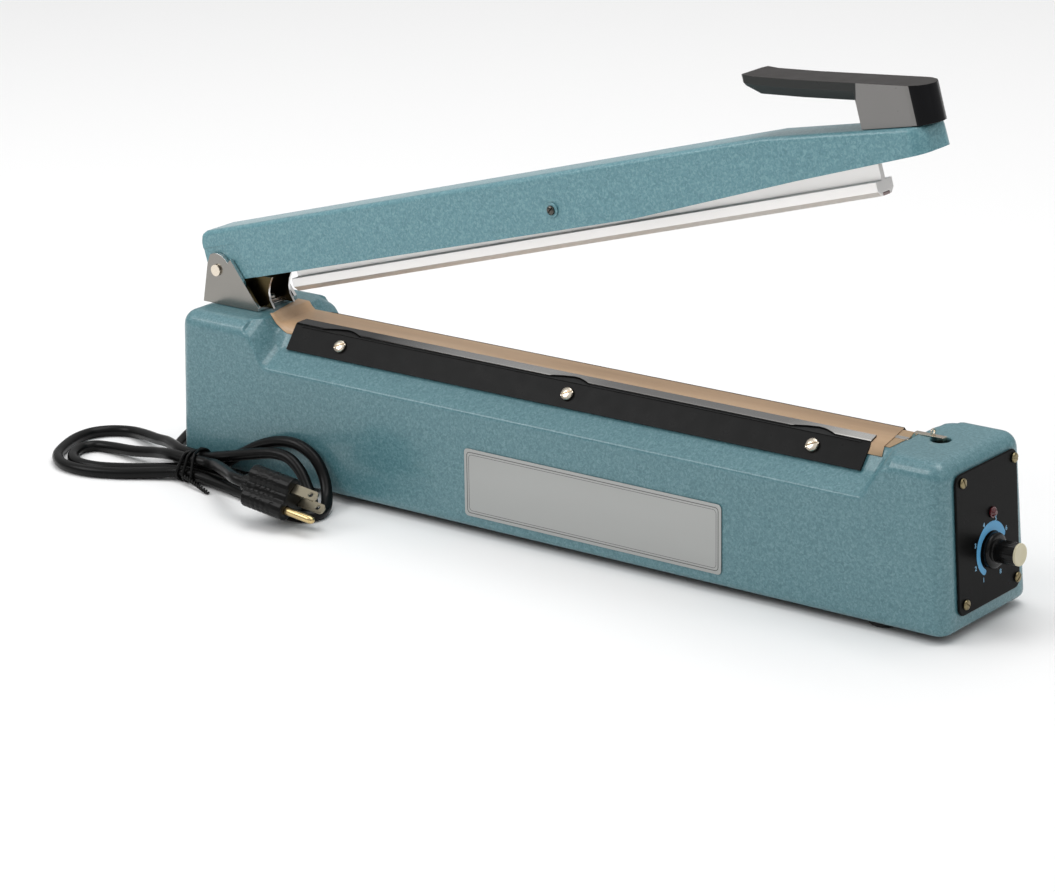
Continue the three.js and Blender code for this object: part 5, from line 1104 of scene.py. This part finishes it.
def flat_band(name, inner, outer, low, high, closed=False):
    """A thin band between two rows of places. Each row is a function of its height above the plate."""
    bm = bmesh.new()
    rows = [[bm.verts.new(p) for p in row] for row in (inner(low), outer(low), outer(high), inner(high))]
    count = len(rows[0])
    last = count if closed else count - 1
    for i in range(last):
        j = (i + 1) % count
        for a, b in ((0, 1), (1, 2), (2, 3), (3, 0)):
            bm.faces.new((rows[a][i], rows[b][i], rows[b][j], rows[a][j]))
    if not closed:
        bm.faces.new([row[0] for row in rows])
        bm.faces.new([row[-1] for row in rows])
    return from_bmesh(name, bm)


def panel_plate():
    """The plate with its moulded edge. Its screws, lamp and knob cover the holes."""
    half = HALF_WIDTH - 12.45
    outline = rounded_rect(-half, half, 9.4, 88.5, 5)
    back = PANEL @ Matrix.Translation((0, 0, PANEL_BACK * MM))
    bm = bmesh.new()
    bm.from_mesh(prism("panel", outline, PANEL_PROUD - PANEL_BACK, back))
    bevel(bm, 0.7, 3, 60)
    mesh = even("panel", from_bmesh("panel", bm))
    piece("control_panel_fine", mesh, "base", PANEL_BLACK, "black_plastic", "control_panel")


def crescent():
    """The blue scale: a band that swells towards its high end and has rounded ends."""
    start, end, steps = 241, 18, 72
    middle = 11.2 + 1.3
    slim, swell, swell_at, swell_reach = 3.3, 1.9, 0.72, 0.3
    rounded_share = 0.03

    def row(radius_at):
        def places(height):
            points = []
            for i in range(steps + 1):
                share = i / steps
                a = math.radians(start + (end - start) * share)
                points.append(on_panel(*round_knob(radius_at(share), a), height))
            return points

        return places

    def width(share):
        rounding = min(1, share / rounded_share, (1 - share) / rounded_share)
        full = slim + swell * math.exp(-(((share - swell_at) / swell_reach) ** 2))
        return full * (0.45 + 0.55 * math.sqrt(rounding))

    inner = row(lambda share: middle - width(share) * 0.36)
    outer = row(lambda share: middle + width(share) * 0.64)
    mesh = flat_band("crescent", inner, outer, PANEL_PROUD + 0.01, PANEL_PROUD + 0.1)
    piece("dial_crescent", mesh, "base", DIAL_BLUE, "black_plastic")


def dial_numbers():
    for i, degrees in enumerate((240, 201, 157, 113.5, 72.5, 27.5, -17, -61)):
        a = math.radians(degrees)
        data = bpy.data.curves.new(f"dial_{i + 1}", "FONT")
        data.body = str(i + 1)
        data.size = 3.6 * MM
        data.align_x = "CENTER"
        data.align_y = "CENTER"
        data.extrude = 0.04 * MM
        data.offset = 0.08 * MM
        data.materials.append(DIAL_PALE)
        number = bpy.data.objects.new(f"dial_number_{i + 1}", data)
        bpy.context.scene.collection.objects.link(number)
        at = Vector((*round_knob(17, a), PANEL_PROUD + 0.06)) * MM
        number.matrix_world = PANEL @ Matrix.Translation(at)
        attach(number, "base")


def knob():
    """Skirt and fluted stalk; the flutes stop under the cap."""
    profile = [
        (0, -12.5),
        (3, -12.5),
        (3, 2.6),
        (9.6, 2.6),
        (10, 3.0),
        (10, 4.6),
        (9.7, 5.4),
        (8.9, 5.9),
        (6.9, 6.0),
        (6.4, 6.5),
        (6.3, 8.5),
        (6.3, 18.4),
        (6.0, 18.8),
        (0, 18.8),
    ]
    mesh = turned("knob", profile, 96)
    for vertex in mesh.vertices:
        x, y, z = vertex.co / MM
        if 6.4 < z < 18.6 and math.hypot(x, y) > 4:
            a = math.atan2(y, x)
            shrink = 1 - 0.03 * (0.5 + 0.5 * math.cos(24 * a))
            vertex.co.x *= shrink
            vertex.co.y *= shrink
    mesh.transform(KNOB_AXIS)
    piece("timer_knob_fine", mesh, "knob", BLACK_PLASTIC, "black_plastic", "timer_knob")
    cap = [(0, 18.85), (6.1, 18.85), (6.25, 19.0), (6.25, 19.9), (6.1, 20.2)]
    cap += [(5.7, 20.35), (5.1, 20.3), (4.8, 20.15), (0, 20.15)]
    mesh = turned("cap", cap, 72)
    mesh.transform(KNOB_AXIS)
    piece("knob_cap_fine", mesh, "knob", IVORY, "ivory_plastic", "knob_cap")


panel_plate()
crescent()
dial_numbers()
knob()


# ---- Label plate's double border ----
LABEL_OUT = Vector((0, -math.cos(DRAFT), math.sin(DRAFT)))
LABEL_UP = Vector((0, math.sin(DRAFT), math.cos(DRAFT)))
LABEL = Matrix((RIGHT, LABEL_UP, LABEL_OUT)).transposed().to_4x4()
LABEL.translation = place(0, -HALF_WIDTH, 0)
LABEL_EDGES = (-50, 134, 7.8, 48.5)
LABEL_FACE = 0.8


def border(name, inset, wide):
    left, right, low, high = LABEL_EDGES

    def ring(extra):
        edge = inset + extra
        outline = rounded_rect(left + edge, right - edge, low + edge, high - edge, max(2.4 - extra, 0.6))
        return lambda height: [LABEL @ (Vector((x, y, height)) * MM) for x, y in outline]

    mesh = flat_band(name, ring(wide), ring(0), LABEL_FACE - 0.03, LABEL_FACE + 0.04, closed=True)
    piece(name, mesh, "base", PRINT_GREY, "bright_aluminium")


border("label_border_outer", 1.8, 0.45)
border("label_border_inner", 3.3, 0.25)


# ---- Strain relief with its rings ----
def strain_relief():
    low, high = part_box("strain_relief")
    right = (high.x - ORIGIN.x) / MM
    left = (low.x - ORIGIN.x) / MM
    inside = 7
    tip = (right - inside) - left
    profile = [(3.8, -inside), (5, -inside), (5, 0), (7, 0), (7, 1.9), (6.6, 2.5), (5.2, 2.6)]
    profile += [(5.1, 3.6), (4.5, 3.7), (4.5, 4.3), (5.0, 4.4), (4.9, 5.4), (4.3, 5.5), (4.3, 6.1)]
    profile += [(4.7, 6.2), (4.6, tip - 0.2), (4.3, tip), (3.8, tip)]
    mesh = turned("relief", profile, 40, 35, closed=True)
    mesh.transform(frame_along(-RIGHT, place(right - inside, 2, 9)))
    piece("strain_relief_fine", mesh, "base", RUBBER, "black_rubber", "strain_relief")


strain_relief()


# ---- Floor and light ----
def floor():
    bm = bmesh.new()
    half = 7
    corners = ((-half, -half), (half, -half), (half, half), (-half, half))
    bm.faces.new([bm.verts.new((x, y, 0)) for x, y in corners])
    mesh = from_bmesh("floor", bm, 30)
    finish = Finish("floor_paper", (0.88, 0.88, 0.88), 0.9)
    finish.bump(finish.noise(500, detail=3), 0.03, 0.0002)
    mesh.materials.append(finish.material)
    obj = bpy.data.objects.new("floor", mesh)
    bpy.context.scene.collection.objects.link(obj)


def area_light(name, at, target, size, power):
    data = bpy.data.lights.new(name, "AREA")
    data.shape = "RECTANGLE"
    data.size, data.size_y = size
    data.energy = power
    light = bpy.data.objects.new(name, data)
    bpy.context.scene.collection.objects.link(light)
    way = Vector(target) - Vector(at)
    light.matrix_world = Matrix.Translation(at) @ way.to_track_quat("-Z", "Y").to_matrix().to_4x4()


def sky():
    """A studio room: pale walls that brighten towards the ceiling."""
    world = bpy.data.worlds.new("studio")
    world.use_nodes = True
    nodes, links = world.node_tree.nodes, world.node_tree.links
    way = nodes.new("ShaderNodeTexCoord").outputs["Generated"]
    split = nodes.new("ShaderNodeSeparateXYZ")
    links.new(way, split.inputs[0])
    ramp = nodes.new("ShaderNodeValToRGB")
    links.new(split.outputs["Z"], ramp.inputs["Fac"])
    stops = ((0.0, 0.42), (0.3, 0.4), (0.6, 0.8), (1.0, 1.0))
    elements = ramp.color_ramp.elements
    while len(elements) < len(stops):
        elements.new(0.5)
    for element, (position, value) in zip(elements, stops):
        element.position = position
        element.color = (value, value, value, 1)
    links.new(ramp.outputs["Color"], nodes["Background"].inputs["Color"])
    nodes["Background"].inputs["Strength"].default_value = 0.85
    return world


floor()
area_light("key", (-1.15, -1.2, 1.35), (-0.15, 0, 0.1), (1.1, 0.9), 12)
area_light("fill", (2.2, -0.4, 1.3), (0, 0, 0.1), (1.2, 1.2), 2)
area_light("top", (0.1, 0.3, 2.5), (0, 0, 0), (2.4, 1.4), 30)
bpy.context.scene.world = sky()
bpy.context.scene.view_settings.view_transform = "Standard"
